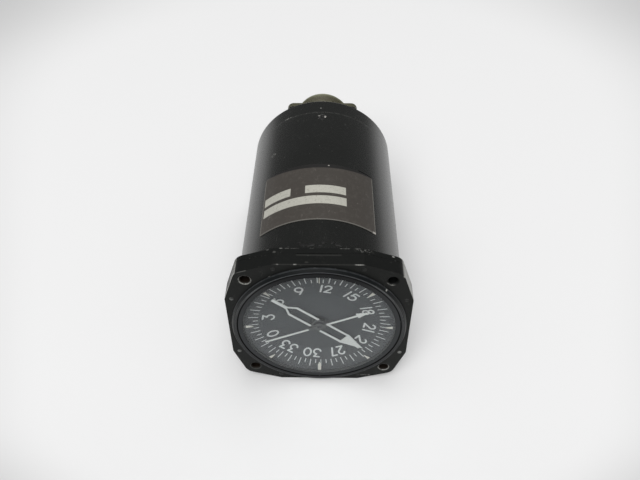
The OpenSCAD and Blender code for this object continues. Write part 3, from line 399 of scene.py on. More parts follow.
def edge_runs(s, runs):
    """Rubbed stretches of an edge, each with its start, end, softness and share."""
    return s.most(*(s.times(s.band(s.x, start, end, soft), share) for start, end, soft, share in runs))


def rear_edge_wear(s):
    """Broken bright dashes along the top rear edge of the flange, and a rubbed patch at their end."""
    edge = s.box(y=(-0.45, 0.3), z=TOP_EDGE, soft=0.1)
    dashes = s.times(edge, edge_runs(s, REAR_RUNS), s.uneven(1.3, 0.4, 0.56, 0.3), 0.55)
    rubbed = s.times(flat_spot(s, 18.9, -0.9, 4.2, 1.5), s.patches(1.1, 0.53, 0.66, 5, 0.7), 0.4)
    return s.most(dashes, rubbed)


def front_edge_wear(s):
    """Small bright runs on the front top edge of the bezel, on a faint rubbed line."""
    edge = s.box(y=(FACE_Y - 0.3, FACE_Y + 0.3), z=TOP_EDGE, soft=0.1)
    widest = s.times(s.band(s.x, 15, 18.6, 0.6), s.uneven(1.7, 0.42, 0.54, 0.35), 0.6)
    worn = s.uneven(1.6, 0.34, 0.5, 0.6, 1, 3, 0.5)
    runs = s.times(edge, s.most(edge_runs(s, FRONT_RUNS), widest), worn)
    near_corner = s.box(x=(-35.4, -30.4), y=(FACE_Y - 0.3, FACE_Y + 0.15), soft=0.15)
    return s.most(runs, s.times(near_corner, s.step(along(s, -TOP_SLOPE), 44.75, 44.95), 0.17))


def side_wear_and_sheen(s):
    """The upper left facet, rubbed to the metal in ragged streaks, and the upper right one lightened as a
    painted sheen.
    """
    behind_face = s.step(s.y, FACE_Y + 0.03, FACE_Y + 0.15)
    left = s.times(s.step(along(s, -SIDE_SLOPE), 45.1, 45.3), behind_face, s.step(s.z, 19, 20.2),
                   s.step(s.x, -SIDE_X, -SIDE_X - 0.3))
    # Painted sheen: the upper right facet is lightened with bare-metal colour where it shines, not where it
    # is worn.
    right = s.times(s.step(along(s, SIDE_SLOPE), 45.1, 45.3), behind_face, s.step(s.z, 19, 23),
                    s.step(s.x, SIDE_X, SIDE_X + 0.8))
    corner = s.times(s.step(s.x, -36.2, -35.9), s.uneven(0.6, 0.4, 0.52, 0.25), 0.9)
    ragged = s.patches(0.8, 0.42, 0.52, 5, 0.7)
    wander = s.fit(s.noise(0.16), -1.6, 1.6)
    depth = s.add(s.y, wander)
    middle = s.times(s.band(depth, -6.2, -4.4, 0.3), s.step(s.z, 25, 28), 0.7)
    rear = s.times(s.band(depth, -2.9, -1.6, 0.3), s.step(s.z, 29.5, 32), 0.55)
    front = s.times(s.band(s.add(s.y, s.times(wander, 0.25)), -9.4, -7.7, 0.3), s.fit(ragged, 0.45, 1))
    streaks = s.most(front, s.times(s.most(middle, rear), ragged))
    rubbed = s.fit(s.step(s.noise(0.5, 3, 0.5, s.stretched(0.25, 2.4, 0.25)), 0.25, 0.6), 0.6, 1)
    return s.most(s.times(left, s.most(corner, streaks), rubbed, 0.75), s.times(right, rubbed, 0.42))


def chips_and_glints(s):
    """Knocked corners and the small marks over the flange, with painted highlights: a light line on the
    slot's front lip and glints on the lip and by the upper right ear.
    """
    knocks = s.patches(0.55, 0.62, 0.7, roughness=0.62)
    corners = s.times(s.edges(0.3), knocks, s.step(s.y, 0.4, 0), 0.55)
    marks = s.most(*(s.times(flat_spot(s, *place), share) for *place, share in TOP_MARKS))
    # Painted highlight: a light line along the slot's front lip, where its edge catches the light.
    slot_lip_highlight = s.times(s.box(x=(-9.5, 9.5), y=(SLOT_Y - 0.75, SLOT_Y - 0.1), z=(41, 42), soft=0.1), 0.045)
    front = s.step(s.y, FACE_Y + 0.4, FACE_Y + 0.2)
    # Painted highlights: a glint on the lip and one on the front edge by the upper right ear.
    glint = s.times(s.spot(28.9, 27, 0.42), s.step(s.y, -10, -10.3))
    ear_glint = s.times(s.spot(36.1, 34.3, 0.5), front, 0.7)
    low_run = s.times(s.box(x=(20.3, 23.5), z=(-38.8, -37.7), soft=0.2), s.patches(2.4, 0.49, 0.56), 0.3)
    low_edge = s.times(s.most(low_run, s.times(s.spot(24.5, -38.2, 0.5), 0.25)), front)
    return s.most(corners, marks, slot_lip_highlight, glint, ear_glint, low_edge)


def metal(name, light, dark, roughness, brushed=(1, 1, 1), black_before=None):
    """Machined or plated metal: drawn grain, a few darker stains and worn-bright edges.

    What stands in front of the given depth is blacked, so that it doesn't shine on the dial.
    """
    s = Shader(name)
    grain = s.noise(2, 5, 0.6, s.stretched(*brushed))
    tone = s.mix(grain, dark, light)
    tone = s.mix(s.times(s.patches(0.25, 0.45, 0.75), 0.45), tone, tuple(0.55 * c for c in dark))
    tone = s.mix(s.times(s.edges(0.1), 0.5), tone, tuple(min(0.95, 1.15 * c) for c in light))
    metallic = 1
    if black_before is not None:
        blacked = s.step(s.y, black_before + 0.1, black_before - 0.1)
        tone = s.mix(blacked, tone, (0.04, 0.042, 0.045))
        metallic = s.inverse(blacked)
    return s.coat(tone, Metallic=metallic, Roughness=s.fit(grain, roughness - 0.08, roughness + 0.12),
                  Normal=s.bump(grain, 0.006, s.rounded(0.08)))


def worn_screw():
    """Small black screws, rubbed grey round their rims, with black left in the slot."""
    s = Shader("worn_screw_head")
    wear = s.patches(0.9, 0.35, 0.65)
    left = s.step(s.x, 30, -30)
    handled = s.step(s.size(s.z), 36.5, 30)
    upper = s.times(wear, s.fit(left, 0.2, 1), s.fit(handled, 0.08, 1))
    lower = s.times(s.step(s.z, -10, -15), handled, s.fit(wear, 0.55, 1))
    shown = s.most(upper, lower)
    rubbed = s.mix(lower, (0.11, 0.115, 0.11), (0.18, 0.185, 0.175))
    tone = s.mix(shown, (0.012, 0.013, 0.012), rubbed)
    tone = s.mix(s.times(s.edges(0.2), shown, 0.6), tone, (0.3, 0.3, 0.29))
    tone = s.mix(s.step(s.y, FACE_Y + 0.1, FACE_Y + 0.25), tone, 0.015)
    return s.coat(tone, Metallic=0.2, Roughness=0.45, shine=0.3, Normal=s.grained(5, 0.01, 0.08))


def cap_screw():
    """Black countersunk screws, chipped bright round the slot."""
    s = Shader("cap_screw_chipped")
    chipped = s.times(s.patches(1.4, 0.54, 0.6, roughness=0.65), s.edges(0.2), 0.5)
    bright = s.most(chipped, flat_spot(s, 2, 103, 0.75, 0.55), flat_spot(s, -1.4, 103.6, 0.6, 0.35))
    tone = s.mix(bright, s.mix(s.noise(1.2), 0.004, 0.01), (0.68, 0.66, 0.62))
    return s.coat(tone, Metallic=s.times(bright, 0.8), Roughness=s.blend(bright, 0.5, 0.3),
                  Normal=s.grained(4, 0.02, 0.12))


def window_glass():
    """Clear coated glass with faint smears. Lamps light the dial through it."""
    s = Shader("window_glass_clear")
    smear = s.step(s.noise(0.1, 4, 0.6, s.stretched(1, 1, 0.5)), 0.5, 0.8)
    s.set(Base_Color=(0.97, 0.985, 0.98), Transmission_Weight=1, IOR=1.5, Specular_Tint=0.03,
          Roughness=s.add(s.times(smear, 0.05), s.times(s.specks(0.5, 0.05), 0.25)))
    in_shadow = s.node("ShaderNodeLightPath").outputs["Is Shadow Ray"]
    clear = s.result("ShaderNodeBsdfTransparent", {0: (0.95, 0.96, 0.955)})
    both = s.result("ShaderNodeMixShader", {0: in_shadow, 1: s.surface.outputs[0], 2: clear})
    s.feed(s.output.inputs["Surface"], both)
    return s.material


def index_paint():
    """Grey ring of the dial's tone, whose marks are cream inside it."""
    s = Shader("index_ring_paint")
    at_top = s.times(s.band(s.x, -2.5, 2.5, 0.1), s.step(s.z, 0, 5))
    lines = s.most(s.band(s.x, 0.08, 1.02, 0.1), s.times(s.band(s.x, -0.8, -0.45, 0.1), 0.25))
    cream = s.times(s.step(s.distance(0, 0), 33.6, 33.45), s.blend(at_top, 1, lines))
    ground = s.mix(s.noise(0.5, 4), (0.06, 0.062, 0.064), (0.082, 0.084, 0.084))
    aged = s.mix(s.noise(1.4, 4, 0.6), (0.37, 0.36, 0.32), (0.49, 0.48, 0.45))
    aged = s.mix(at_top, aged, (0.75, 0.72, 0.63))
    return s.coat(s.mix(cream, ground, aged), Roughness=s.fit(s.noise(2), 0.6, 0.75),
                  shine=0.15, Normal=s.grained(5, 0.006))


def border_paint():
    """Dark satin coat round the window, with painted shade: black at its outer edge under the ring, and
    darker towards the top under the lip.
    """
    s = Shader("window_border_satin")
    # Painted shadow: black at the outer edge, where the retaining ring shades the border.
    ring_shadow = s.step(s.distance(0, 0), BORDER_OUT_R - 0.32, BORDER_OUT_R - 0.17)
    tone = s.mix(s.noise(0.5, 4), (0.0085, 0.009, 0.0095), (0.013, 0.014, 0.015))
    # Painted shade: lighter towards the bottom, darker at the top where the lip shades the border.
    tone = s.mix(s.step(s.z, 32, 5), tone, (0.019, 0.021, 0.023))
    tone = s.mix(s.times(s.specks(0.6, 0.06), 0.3), tone, 0.12)
    tone = s.mix(ring_shadow, tone, 0.002)
    shaded = s.most(ring_shadow, s.times(s.step(s.z, 24, 34), 0.8))
    return s.coat(tone, Roughness=s.fit(s.noise(2), 0.5, 0.65),
                  shine=s.blend(shaded, 0.3, 0.05), Normal=s.grained(5, 0.005))


def ring_paint():
    """Satin retaining ring with painted shade, black at its bore and towards its top, and a painted
    highlight line at its top.
    """
    s = Shader("retaining_ring_satin")
    radius = s.distance(0, 0)
    # Painted shadow: black near the bore, where the ring meets the glass, and over the top under the lip.
    bore_shadow = s.step(radius, RING_BORE_R + 0.45, RING_BORE_R + 0.27)
    upper = s.step(s.z, 22, 32)
    tone = s.mix(s.noise(0.8, 4), (0.006, 0.007, 0.0078), (0.011, 0.0125, 0.014))
    tone = s.mix(s.times(s.edges(0.12), s.patches(2.2, 0.5, 0.6, 3, 0.5), 0.5), tone, 0.2)
    tone = s.mix(s.most(bore_shadow, s.times(upper, 0.9)), tone, 0.0015)
    # Painted highlight: a light line along the ring's top edge.
    top_highlight = s.times(s.step(radius, LIP_IN_R - 0.65, LIP_IN_R - 0.55), s.step(s.z, 18, 30))
    tone = s.mix(top_highlight, tone, s.mix(s.noise(0.7), (0.05, 0.054, 0.058), (0.09, 0.095, 0.1)))
    return s.coat(tone, Roughness=s.fit(s.noise(3), 0.3, 0.48), Normal=s.grained(6, 0.006, 0.1),
                  shine=s.blend(s.most(bore_shadow, upper), 0.4, 0.02))


def card_paint():
    """Matte charcoal dial with a faint grain and turning marks."""
    s = Shader("card_charcoal")
    rings = s.ripple(s.distance(0, 0), 9)
    tone = s.mix(s.noise(0.35, 4), (0.042, 0.045, 0.049), (0.056, 0.06, 0.065))
    tone = s.mix(s.times(s.specks(0.8, 0.05), 0.4), tone, 0.26)
    height = s.add(s.times(s.noise(4, 4), 0.7), s.times(rings, 0.05))
    roughness = s.fit(s.noise(1.6, 2, 0.5, s.stretched(0.2, 0.2, 0.2)), 0.62, 0.8)
    return s.coat(tone, Roughness=roughness, shine=0.25, Normal=s.bump(height, 0.008))


def mark_paint(name, light, dark):
    """Printed or painted marks, slightly uneven and aged."""
    s = Shader(name)
    wear = s.noise(2.2, 5, 0.65)
    tone = s.mix(s.step(wear, 0.3, 0.7), dark, light)
    return s.coat(tone, Roughness=s.fit(wear, 0.5, 0.68), Normal=s.bump(wear, 0.01))


def pointer_paint():
    """White enamel on the blades and black over their hubs."""
    s = Shader("pointer_white_and_black")
    on_single = s.step(s.y, -8.3, -8.5)
    along_single = along(s, SINGLE_ANGLE)
    single_white = s.most(s.step(along_single, 3.55, 3.75), s.step(along_single, -5.2, -5.4))
    reach = s.size(along(s, DOUBLE_ANGLE))
    on_bars = s.step(s.size(along(s, DOUBLE_ANGLE + 90)), 2.2, 2.32)
    past_hub = s.step(reach, 3.42, 3.5)
    double_white = s.times(s.step(reach, 2.65, 2.85), s.most(on_bars, past_hub))
    white = s.blend(on_single, double_white, single_white)
    grain = s.noise(1.8, 4, 0.6)
    paint = s.mix(grain, (0.4, 0.41, 0.4), (0.47, 0.48, 0.48))
    paint = s.mix(s.times(s.edges(0.2), 0.75), paint, 0.1)
    black = s.mix(grain, (0.04, 0.042, 0.044), (0.052, 0.054, 0.057))
    return s.coat(s.mix(white, black, paint), Roughness=s.fit(grain, 0.38, 0.55),
                  Normal=s.grained(4, 0.006, 0.06))


def along(s, angle):
    """Distance from the middle towards an angle of the dial."""
    turn = math.radians(angle)
    return s.add(s.times(s.x, math.sin(turn)), s.times(s.z, math.cos(turn)))


def grained_finish(name, dark, light, noise, roughness, depth, **inputs):
    """A finish whose colour, roughness and relief all follow one grain."""
    s = Shader(name)
    grain = s.noise(*noise)
    return s.coat(s.mix(grain, dark, light), Roughness=s.fit(grain, *roughness),
                  Normal=s.bump(grain, depth), **inputs)


def rubber():
    return grained_finish("seal_rubber_matte", 0.008, (0.022, 0.022, 0.021), (3, 5, 0.7), (0.7, 0.9), 0.02)


def sealant_paint():
    """Dried dark sealant, slightly glossier than the enamel."""
    return grained_finish("dried_sealant", 0.006, (0.014, 0.014, 0.013), (1.5, 4, 0.6), (0.35, 0.6), 0.05,
                          shine=0.3)


def plate_bronze():
    """Aged dark bronze nameplate: light edge, three bare fields and a blackened rear margin."""
    s = Shader("plate_bronze_aged")
    arc = s.times(s.math("ARCTAN2", s.x, s.z), PLATE_R)
    left = math.radians(PLATE_LEFT) * PLATE_R
    right = math.radians(PLATE_RIGHT) * PLATE_R
    fields = s.most(*(s.times(s.band(arc, *around, 0.15), s.band(s.y, *length, 0.15))
                      for around, length in PLATE_FIELDS))
    inside = s.times(s.band(arc, left + PLATE_EDGE, right - PLATE_EDGE, 0.15),
                     s.band(s.y, PLATE_START + PLATE_EDGE, PLATE_END - PLATE_EDGE, 0.15))
    grain = s.noise(1.2, 5, 0.65)
    ground = s.mix(grain, (0.043, 0.037, 0.032), (0.07, 0.062, 0.053))
    ground = s.mix(s.times(s.patches(0.4, 0.5, 0.75), 0.35), ground, (0.11, 0.1, 0.088))
    ground = s.mix(s.times(s.scratches(0.5, (1, 0.3, 1), 0.008, 0.5), 0.5), ground, (0.22, 0.2, 0.18))
    brushed = s.noise(2.2, 4, 0.6, s.stretched(0.35, 2.5, 0.35))
    bare = s.mix(brushed, (0.48, 0.47, 0.4), (0.74, 0.73, 0.66))
    bare = s.mix(s.times(s.patches(0.9, 0.52, 0.7, 5, 0.7), 0.5), bare, (0.2, 0.19, 0.16))
    tone = s.mix(fields, ground, bare)
    edge_share = s.blend(s.step(s.y, PLATE_END - 2, PLATE_END - 0.6), 1, 0.25)
    edge_tone = s.mix(grain, (0.09, 0.085, 0.075), (0.24, 0.23, 0.21))
    tone = s.mix(s.times(s.inverse(inside), edge_share), tone, edge_tone)
    bow = s.times(arc, arc, -MARGIN_BOW / (MARGIN_SPAN * MARGIN_SPAN))
    margin_start = PLATE_END - MARGIN_BOW
    margin = s.step(s.add(s.y, bow), margin_start - 0.2, margin_start + 0.2)
    tone = s.mix(margin, tone, (0.01, 0.0095, 0.009))
    # Painted highlight: the bent front right corner lit bright; the speck beside it is a real mark.
    bent_corner_glint = s.times(s.band(arc, right - 1.6, right + 1, 0.4),
                   s.band(s.y, PLATE_START - 1, PLATE_START + 0.9, 0.2))
    speck = oval(s, s.less(arc, 3.9), s.less(s.y, 59.2), 0.4, 0.35)
    tone = s.mix(s.times(s.most(bent_corner_glint, speck), 0.7), tone, (0.62, 0.6, 0.55))
    height = s.add(s.times(grain, 0.4), s.times(fields, -0.8))
    return s.coat(tone, Metallic=s.times(fields, 0.35), shine=0.4,
                  Roughness=s.fit(grain, 0.42, 0.58), Normal=s.bump(height, 0.03, s.rounded(0.1)))


def olive_drab():
    """Olive chromate plating, paler where it is rubbed and brown in the hollows."""
    s = Shader("olive_drab_plating")
    fine = s.noise(1.6, 5, 0.65)
    tone = s.mix(s.noise(0.22, 4, 0.6), (0.085, 0.09, 0.05), (0.16, 0.155, 0.095))
    on_flange = s.step(s.y, CONN_FLANGE_END + 0.3, CONN_FLANGE_END + 0.1)
    for mask, share, colour in ((s.step(fine, 0.5, 0.75), 0.5, (0.22, 0.21, 0.15)),
                                (s.band(s.y, 124, 137.2, 1), 0.7, (0.06, 0.051, 0.034)),
                                (s.step(s.y, 138, 138.8), 0.4, (0.3, 0.31, 0.22)),
                                (on_flange, 0.45, (0.05, 0.046, 0.03)),
                                (s.edges(0.3), s.step(fine, 0.35, 0.6), (0.36, 0.36, 0.27))):
        tone = s.mix(s.times(mask, share), tone, colour)
    return s.coat(tone, Metallic=0.35, Roughness=s.fit(fine, 0.36, 0.58),
                  Normal=s.bump(fine, 0.02, s.rounded(0.15)))


def moulded(name, colour, other, roughness):
    """Moulded resin or sleeving with a faint flow pattern."""
    s = Shader(name)
    flow = s.noise(0.7, 4, 0.6, None, 1.5)
    return s.coat(s.mix(flow, colour, other), Roughness=s.fit(flow, roughness - 0.08, roughness + 0.08),
                  Normal=s.grained(5, 0.008, 0.08))


def board(name, colour, other):
    """Glass-fibre board: woven cloth under the resin, with tinned tracks."""
    s = Shader(name)
    weave = s.fit(s.times(s.ripple(s.x, 9), s.ripple(s.z, 9)), 0.5, 1)
    lanes = s.step(s.math("PINGPONG", s.add(s.x, s.times(s.noise(0.06, 0), 14)), 2.2), 0.35, 0.2)
    track = s.times(lanes, s.patches(0.12, 0.5, 0.52, 1, 0.5))
    tone = s.mix(track, s.mix(weave, colour, other), (0.5, 0.5, 0.46))
    return s.coat(tone, Metallic=s.times(track, 0.8), Roughness=s.blend(track, 0.36, 0.28),
                  Normal=s.bump(s.add(s.times(weave, 0.1), track), 0.03, s.rounded(0.1)))


def winding():
    """Enamelled copper wire lying in the rotor's slots, between its laminations."""
    s = Shader("rotor_laminations_and_copper")
    layers = s.fit(s.ripple(s.y, 12), 0.5, 1)
    stain = s.noise(1.4, 4, 0.6)
    tone = s.mix(layers, (0.3, 0.12, 0.05), (0.62, 0.3, 0.14))
    tone = s.mix(s.times(stain, 0.4), tone, (0.16, 0.07, 0.03))
    return s.coat(tone, Metallic=0.7, Roughness=s.fit(stain, 0.32, 0.5), Normal=s.bump(layers, 0.03))


def stack_steel():
    """Stacked laminations: fine lines round the stack and a little varnish."""
    s = Shader("stator_laminations")
    layers = s.fit(s.ripple(s.y, 15), 0.5, 1)
    varnish = s.noise(0.7, 4, 0.6)
    tone = s.mix(layers, (0.13, 0.13, 0.14), (0.34, 0.34, 0.35))
    tone = s.mix(s.step(varnish, 0.5, 0.7), tone, (0.22, 0.15, 0.08))
    return s.coat(tone, Metallic=0.8, Roughness=s.fit(varnish, 0.35, 0.55), Normal=s.bump(layers, 0.02))


def component_dark():
    """Dark lacquered electronic parts: transformer and cans, with blue capacitors and tan resistors."""
    s = Shader("component_lacquer")
    lacquer = s.noise(0.9, 4, 0.6)
    tone = s.mix(lacquer, (0.022, 0.022, 0.024), (0.05, 0.05, 0.055))
    tone = s.mix(s.times(s.step(s.z, 6, 8), s.step(s.x, -5, -3)), tone, (0.045, 0.09, 0.19))
    tone = s.mix(s.box(x=(0, 22), z=(-6, 2), soft=0.5), tone, (0.36, 0.24, 0.12))
    return s.coat(tone, Roughness=s.fit(lacquer, 0.32, 0.5), Normal=s.grained(3, 0.01, 0.15))


def finishes():
    """The materials by the record's slots."""
    return {
        "black_enamel": black_enamel(),
        "worn_screw": worn_screw(),
        "black_screw": cap_screw(),
        "dark_ring": ring_paint(),
        "window_glass": window_glass(),
        "index_black": index_paint(),
        "seal_rubber": rubber(),
        "plate_bronze": plate_bronze(),
        "olive_drab": olive_drab(),
        "insert_resin": moulded("insert_green_resin", (0.022, 0.036, 0.024), (0.04, 0.056, 0.04), 0.45),
        "gilt_brass": metal("gilt_pins", (0.86, 0.66, 0.3), (0.62, 0.44, 0.16), 0.25),
        "plated_screw": metal("plated_screws", (0.52, 0.52, 0.48), (0.34, 0.34, 0.31), 0.38),
        "wire_sleeve": moulded("wire_sleeving", (0.58, 0.56, 0.48), (0.74, 0.72, 0.64), 0.5),
        "card_black": card_paint(),
        "bright_aluminium": metal("machined_aluminium", (0.74, 0.75, 0.76), (0.52, 0.53, 0.54), 0.34,
                                  (1, 0.2, 1), black_before=DIAL_BACK),
        "ground_steel": metal("ground_steel_shafts", (0.62, 0.63, 0.64), (0.44, 0.45, 0.46), 0.22,
                              (0.3, 3, 0.3), black_before=DIAL_BACK),
        "bronze": metal("sintered_bronze", (0.56, 0.36, 0.17), (0.36, 0.21, 0.09), 0.45,
                        black_before=DIAL_BACK),
        "gear_brass": metal("cut_brass_gears", (0.8, 0.62, 0.3), (0.56, 0.41, 0.17), 0.3, (1, 0.3, 1)),
        "bearing_steel": metal("bearing_steel_polished", (0.6, 0.61, 0.62), (0.4, 0.41, 0.42), 0.2),
        "pointer_white": pointer_paint(),
        "rotor_copper": winding(),
        "stack_steel": stack_steel(),
        "board_green": board("amplifier_board_cloth", (0.045, 0.11, 0.04), (0.065, 0.15, 0.055)),
        "board_tan": board("terminal_board_cloth", (0.21, 0.15, 0.06), (0.28, 0.2, 0.09)),
        "parts_dark": component_dark(),
    }


def dress(frame, materials):
    """Gives every CAD node the finish of its slot."""
    slots = {part["node"]: part["material_slot"] for part in frame["record"]["subparts"]}
    for name, obj in frame["nodes"].items():
        for holder in obj.material_slots:
            holder.material = materials[slots[name]]


def placed(name, data):
    """A new object, linked into the scene."""
    made = bpy.data.objects.new(name, data)
    bpy.context.scene.collection.objects.link(made)
    return made


def mesh_piece(name, vertices, faces, material, smooth=False):
    """An object from vertices in millimetres."""
    mesh = bpy.data.meshes.new(name)
    mesh.from_pydata([Vector(v) * MM for v in vertices], [], faces)
    mesh.validate()
    mesh.update()
    build = bmesh.new()
    build.from_mesh(mesh)
    bmesh.ops.recalc_face_normals(build, faces=build.faces)
    build.to_mesh(mesh)
    build.free()
    for face in mesh.polygons:
        face.use_smooth = smooth
    mesh.materials.append(material)
    return placed(name, mesh)


def polar(radius, turn, y, height=0):
    """A point at a radius and an angle from the top round an axis along Y."""
    return (radius * math.sin(turn), y, height + radius * math.cos(turn))


def even_turns(count):
    """Angles in even steps round a circle."""
    return [2 * math.pi * k / count for k in range(count)]


def lofted(name, rings, material, smooth=False):
    """A closed skin from rings of as many points each. The last ring is joined to the first."""
    size = len(rings[0])
    vertices = [point for ring in rings for point in ring]
    faces = []
    for n in range(len(rings)):
        here = n * size
        after = (n + 1) % len(rings) * size
        for k in range(size):
            beside = (k + 1) % size
            faces.append((here + k, here + beside, after + beside, after + k))
    return mesh_piece(name, vertices, faces, material, smooth)


def turned_piece(name, profile, material, around=192):
    """A ring or disc turned about the case axis from a closed profile of (radius, y) points."""
    rings = [[polar(radius, turn, y) for radius, y in profile] for turn in even_turns(around)]
    return lofted(name, rings, material)


# Dial marks

STROKE = 0.85
MARK_RISE = 0.03
MARK_DEPTH = 0.02
DIGIT_FOOT = 20.9
DIGIT_TOP = 5.1
TICK_FOOT = 28.05
TICK_SHORT = 30.5
TICK_LONG = 32.6
TICK_WIDTH = 0.42


def arc(cx, cy, r, start, end, ry=None):
    """Points along an arc, in degrees counted anticlockwise from the right."""
    count = max(6, int(abs(end - start) / 9))
    turns = [math.radians(start + (end - start) * k / count) for k in range(count + 1)]
    return [(cx + r * math.cos(t), cy + (ry or r) * math.sin(t)) for t in turns]


def six():
    """A round bowl and a straight tail that touches its left side."""
    bowl = 1.65
    tail = (0.9, DIGIT_TOP)
    reach = math.hypot(tail[0], tail[1] - bowl)
    touch = math.degrees(math.atan2(tail[1] - bowl, tail[0]) + math.acos(bowl / reach))
    return [[tail] + arc(0, bowl, bowl, touch, touch + 360)]


def upside_down(strokes):
    return [[(-u, DIGIT_TOP - v) for u, v in stroke] for stroke in strokes]


DIGITS = {
    "0": [arc(0, 2.55, 1.65, 90, 450, 2.55)],
    "1": [[(0, 0), (0, DIGIT_TOP)]],
    "2": [arc(0, 3.7, 1.4, 170, -35) + [(-1.4, 0)], [(-1.4, 0), (1.4, 0)]],
    "3": [[(-1.35, DIGIT_TOP), (1.2, DIGIT_TOP)], [(1.2, DIGIT_TOP), (0.1, 3.2)],
          arc(-0.05, 1.65, 1.65, 80, -160)],
    "4": [[(0.7, DIGIT_TOP), (-1.7, 1.5)], [(-1.7, 1.5), (1.7, 1.5)], [(0.7, DIGIT_TOP), (0.7, 0)]],
    "5": [[(1.2, DIGIT_TOP), (-0.95, DIGIT_TOP)], [(-0.95, DIGIT_TOP), (-1.1, 3)],
          arc(0, 1.7, 1.7, 140, -150)],
    "6": six(),
    "7": [[(-1.2, DIGIT_TOP), (1.2, DIGIT_TOP)], [(1.2, DIGIT_TOP), (-0.4, 0)]],
    "8": [arc(0, 3.85, 1.2, 90, 450), arc(0, 1.4, 1.4, 90, 450)],
    "9": upside_down(six()),
}
DIGIT_WIDTHS = {"0": 4.2, "1": 0.85, "2": 3.6, "3": 4.1, "4": 4.2, "5": 3.75, "6": 4.25, "7": 3.25,
                "8": 3.6, "9": 4.25}
NUMBER_SHIFTS = {"12": -0.4, "15": -0.4}
PAIR_GAPS = {"12": 0.75, "15": 1.05, "18": 0.9, "21": 1.05, "24": 0.8, "27": 0.55, "30": 0.5, "33": 0.7}


def card_y(radius):
    """Depth of the dished card's front at a radius."""
    share = max(0, (radius - CARD_FLAT_R) / (CARD_RIM_R - CARD_FLAT_R))
    return CARD_Y + share * (CARD_RIM_Y - CARD_Y)


def on_card(u, v, angle, rise):
    """A point u to the right and v up at an angle of the dial, set on the card."""
    turn = math.radians(angle)
    x = v * math.sin(turn) + u * math.cos(turn)
    z = v * math.cos(turn) - u * math.sin(turn)
    return (x, card_y(math.hypot(x, z)) - rise, z)


def sections(points, width, caps):
    """Point, direction and half width along a stroke, with round ends where caps is true."""
    closed = math.dist(points[0], points[-1]) < 1e-6
    half = width / 2
    found = []
    path = [points[-2], *points, points[1]] if closed else [points[0], *points, points[-1]]
    for before, (u, v), after in zip(path, points, path[2:]):
        du, dv = after[0] - before[0], after[1] - before[1]
        size = math.hypot(du, dv)
        found.append(((u, v), (du / size, dv / size), half))
    if caps and not closed:
        ends = [math.radians(t) for t in (12, 35, 62)]
        start, finish = found[0], found[-1]
        head = [(moved(start, -half * math.cos(t)), start[1], half * math.sin(t)) for t in ends]
        tail = [(moved(finish, half * math.cos(t)), finish[1], half * math.sin(t)) for t in reversed(ends)]
        found = head + found + tail
    return found


def moved(section, distance):
    """The point of a section, moved along the stroke."""
    (u, v), (du, dv), _ = section
    return (u + du * distance, v + dv * distance)


def add_stroke(vertices, faces, points, width, place, caps=True):
    """Adds a thin closed strip. Place turns (u, v, rise) into a point of the row frame."""
    cuts = sections(points, width, caps)
    base = len(vertices)
    for (u, v), (du, dv), half in cuts:
        for side in (-1, 1):
            for rise in (MARK_RISE, -MARK_DEPTH):
                vertices.append(place(u - dv * half * side, v + du * half * side, rise))
    for k in range(len(cuts) - 1):
        a = base + 4 * k
        b = a + 4
        faces += [(a, b, b + 2, a + 2), (a + 1, a + 3, b + 3, b + 1), (a, a + 1, b + 1, b),
                  (a + 2, b + 2, b + 3, a + 3)]
    end = base + 4 * (len(cuts) - 1)
    faces += [(base, base + 2, base + 3, base + 1), (end, end + 1, end + 3, end + 2)]


def number_strokes(text):
    """The strokes of a number of one or two digits, centred, with their shift."""
    widths = [DIGIT_WIDTHS[c] for c in text]
    gap = PAIR_GAPS.get(text, 0)
    left = NUMBER_SHIFTS.get(text, 0) - (sum(widths) + gap * (len(text) - 1)) / 2
    found = []
    for character, width in zip(text, widths):
        shift = left + width / 2
        found += [[(u + shift, v) for u, v in stroke] for stroke in DIGITS[character]]
        left += width + gap
    return found


def card_numbers(material):
    """The numbers 0 to 33, one each 30 degrees."""
    vertices, faces = [], []
    for k in range(12):
        angle = CARD_TURN + 30 * (k - 4)
        for stroke in number_strokes(str(3 * k)):
            add_stroke(vertices, faces, stroke, STROKE,
                       lambda u, v, rise: on_card(u, DIGIT_FOOT + v, angle, rise))
    return mesh_piece("card_numbers", vertices, faces, material)


def card_ticks(material):
    """A long tick each 10 degrees and a short one between."""
    vertices, faces = [], []
    for k in range(72):
        angle = CARD_TURN + 5 * k
        outer = TICK_LONG if k % 2 == 0 else TICK_SHORT
        points = [(0, TICK_FOOT), (0, (TICK_FOOT + outer) / 2), (0, outer)]
        add_stroke(vertices, faces, points, TICK_WIDTH,
                   lambda u, v, rise: on_card(u, v, angle, rise), caps=False)
    return mesh_piece("card_ticks", vertices, faces, material)


def card_rim(material):
    """The card's turned rim, which runs on under the index ring."""
    inner, outer, thick = 33.2, 35.5, 0.3
    profile = [(inner, card_y(inner) - 0.01), (outer, card_y(outer)), (outer, card_y(outer) + thick),
               (inner, card_y(inner) + thick)]
    return turned_piece("card_rim", profile, material)


# Connector

def threaded_shell(frame, material):
    """The CAD shell with its barrel turned down to the thread's root."""
    source = frame["nodes"]["connector_shell"]
    mesh = source.data.copy()
    mesh.name = "connector_shell_dressed"
    for vertex in mesh.vertices:
        x, y, z = (c / MM for c in vertex.co)
        radius = math.hypot(x, z - CONN_Z)
        if y > CONN_FLANGE_END + 0.1 and abs(radius - SHELL_R) < 0.1:
            share = SHELL_ROOT_R / radius
            vertex.co = Vector((x * share, y, CONN_Z + (z - CONN_Z) * share)) * MM
    mesh.materials.clear()
    mesh.materials.append(material)
    return placed("connector_shell_turned", mesh)


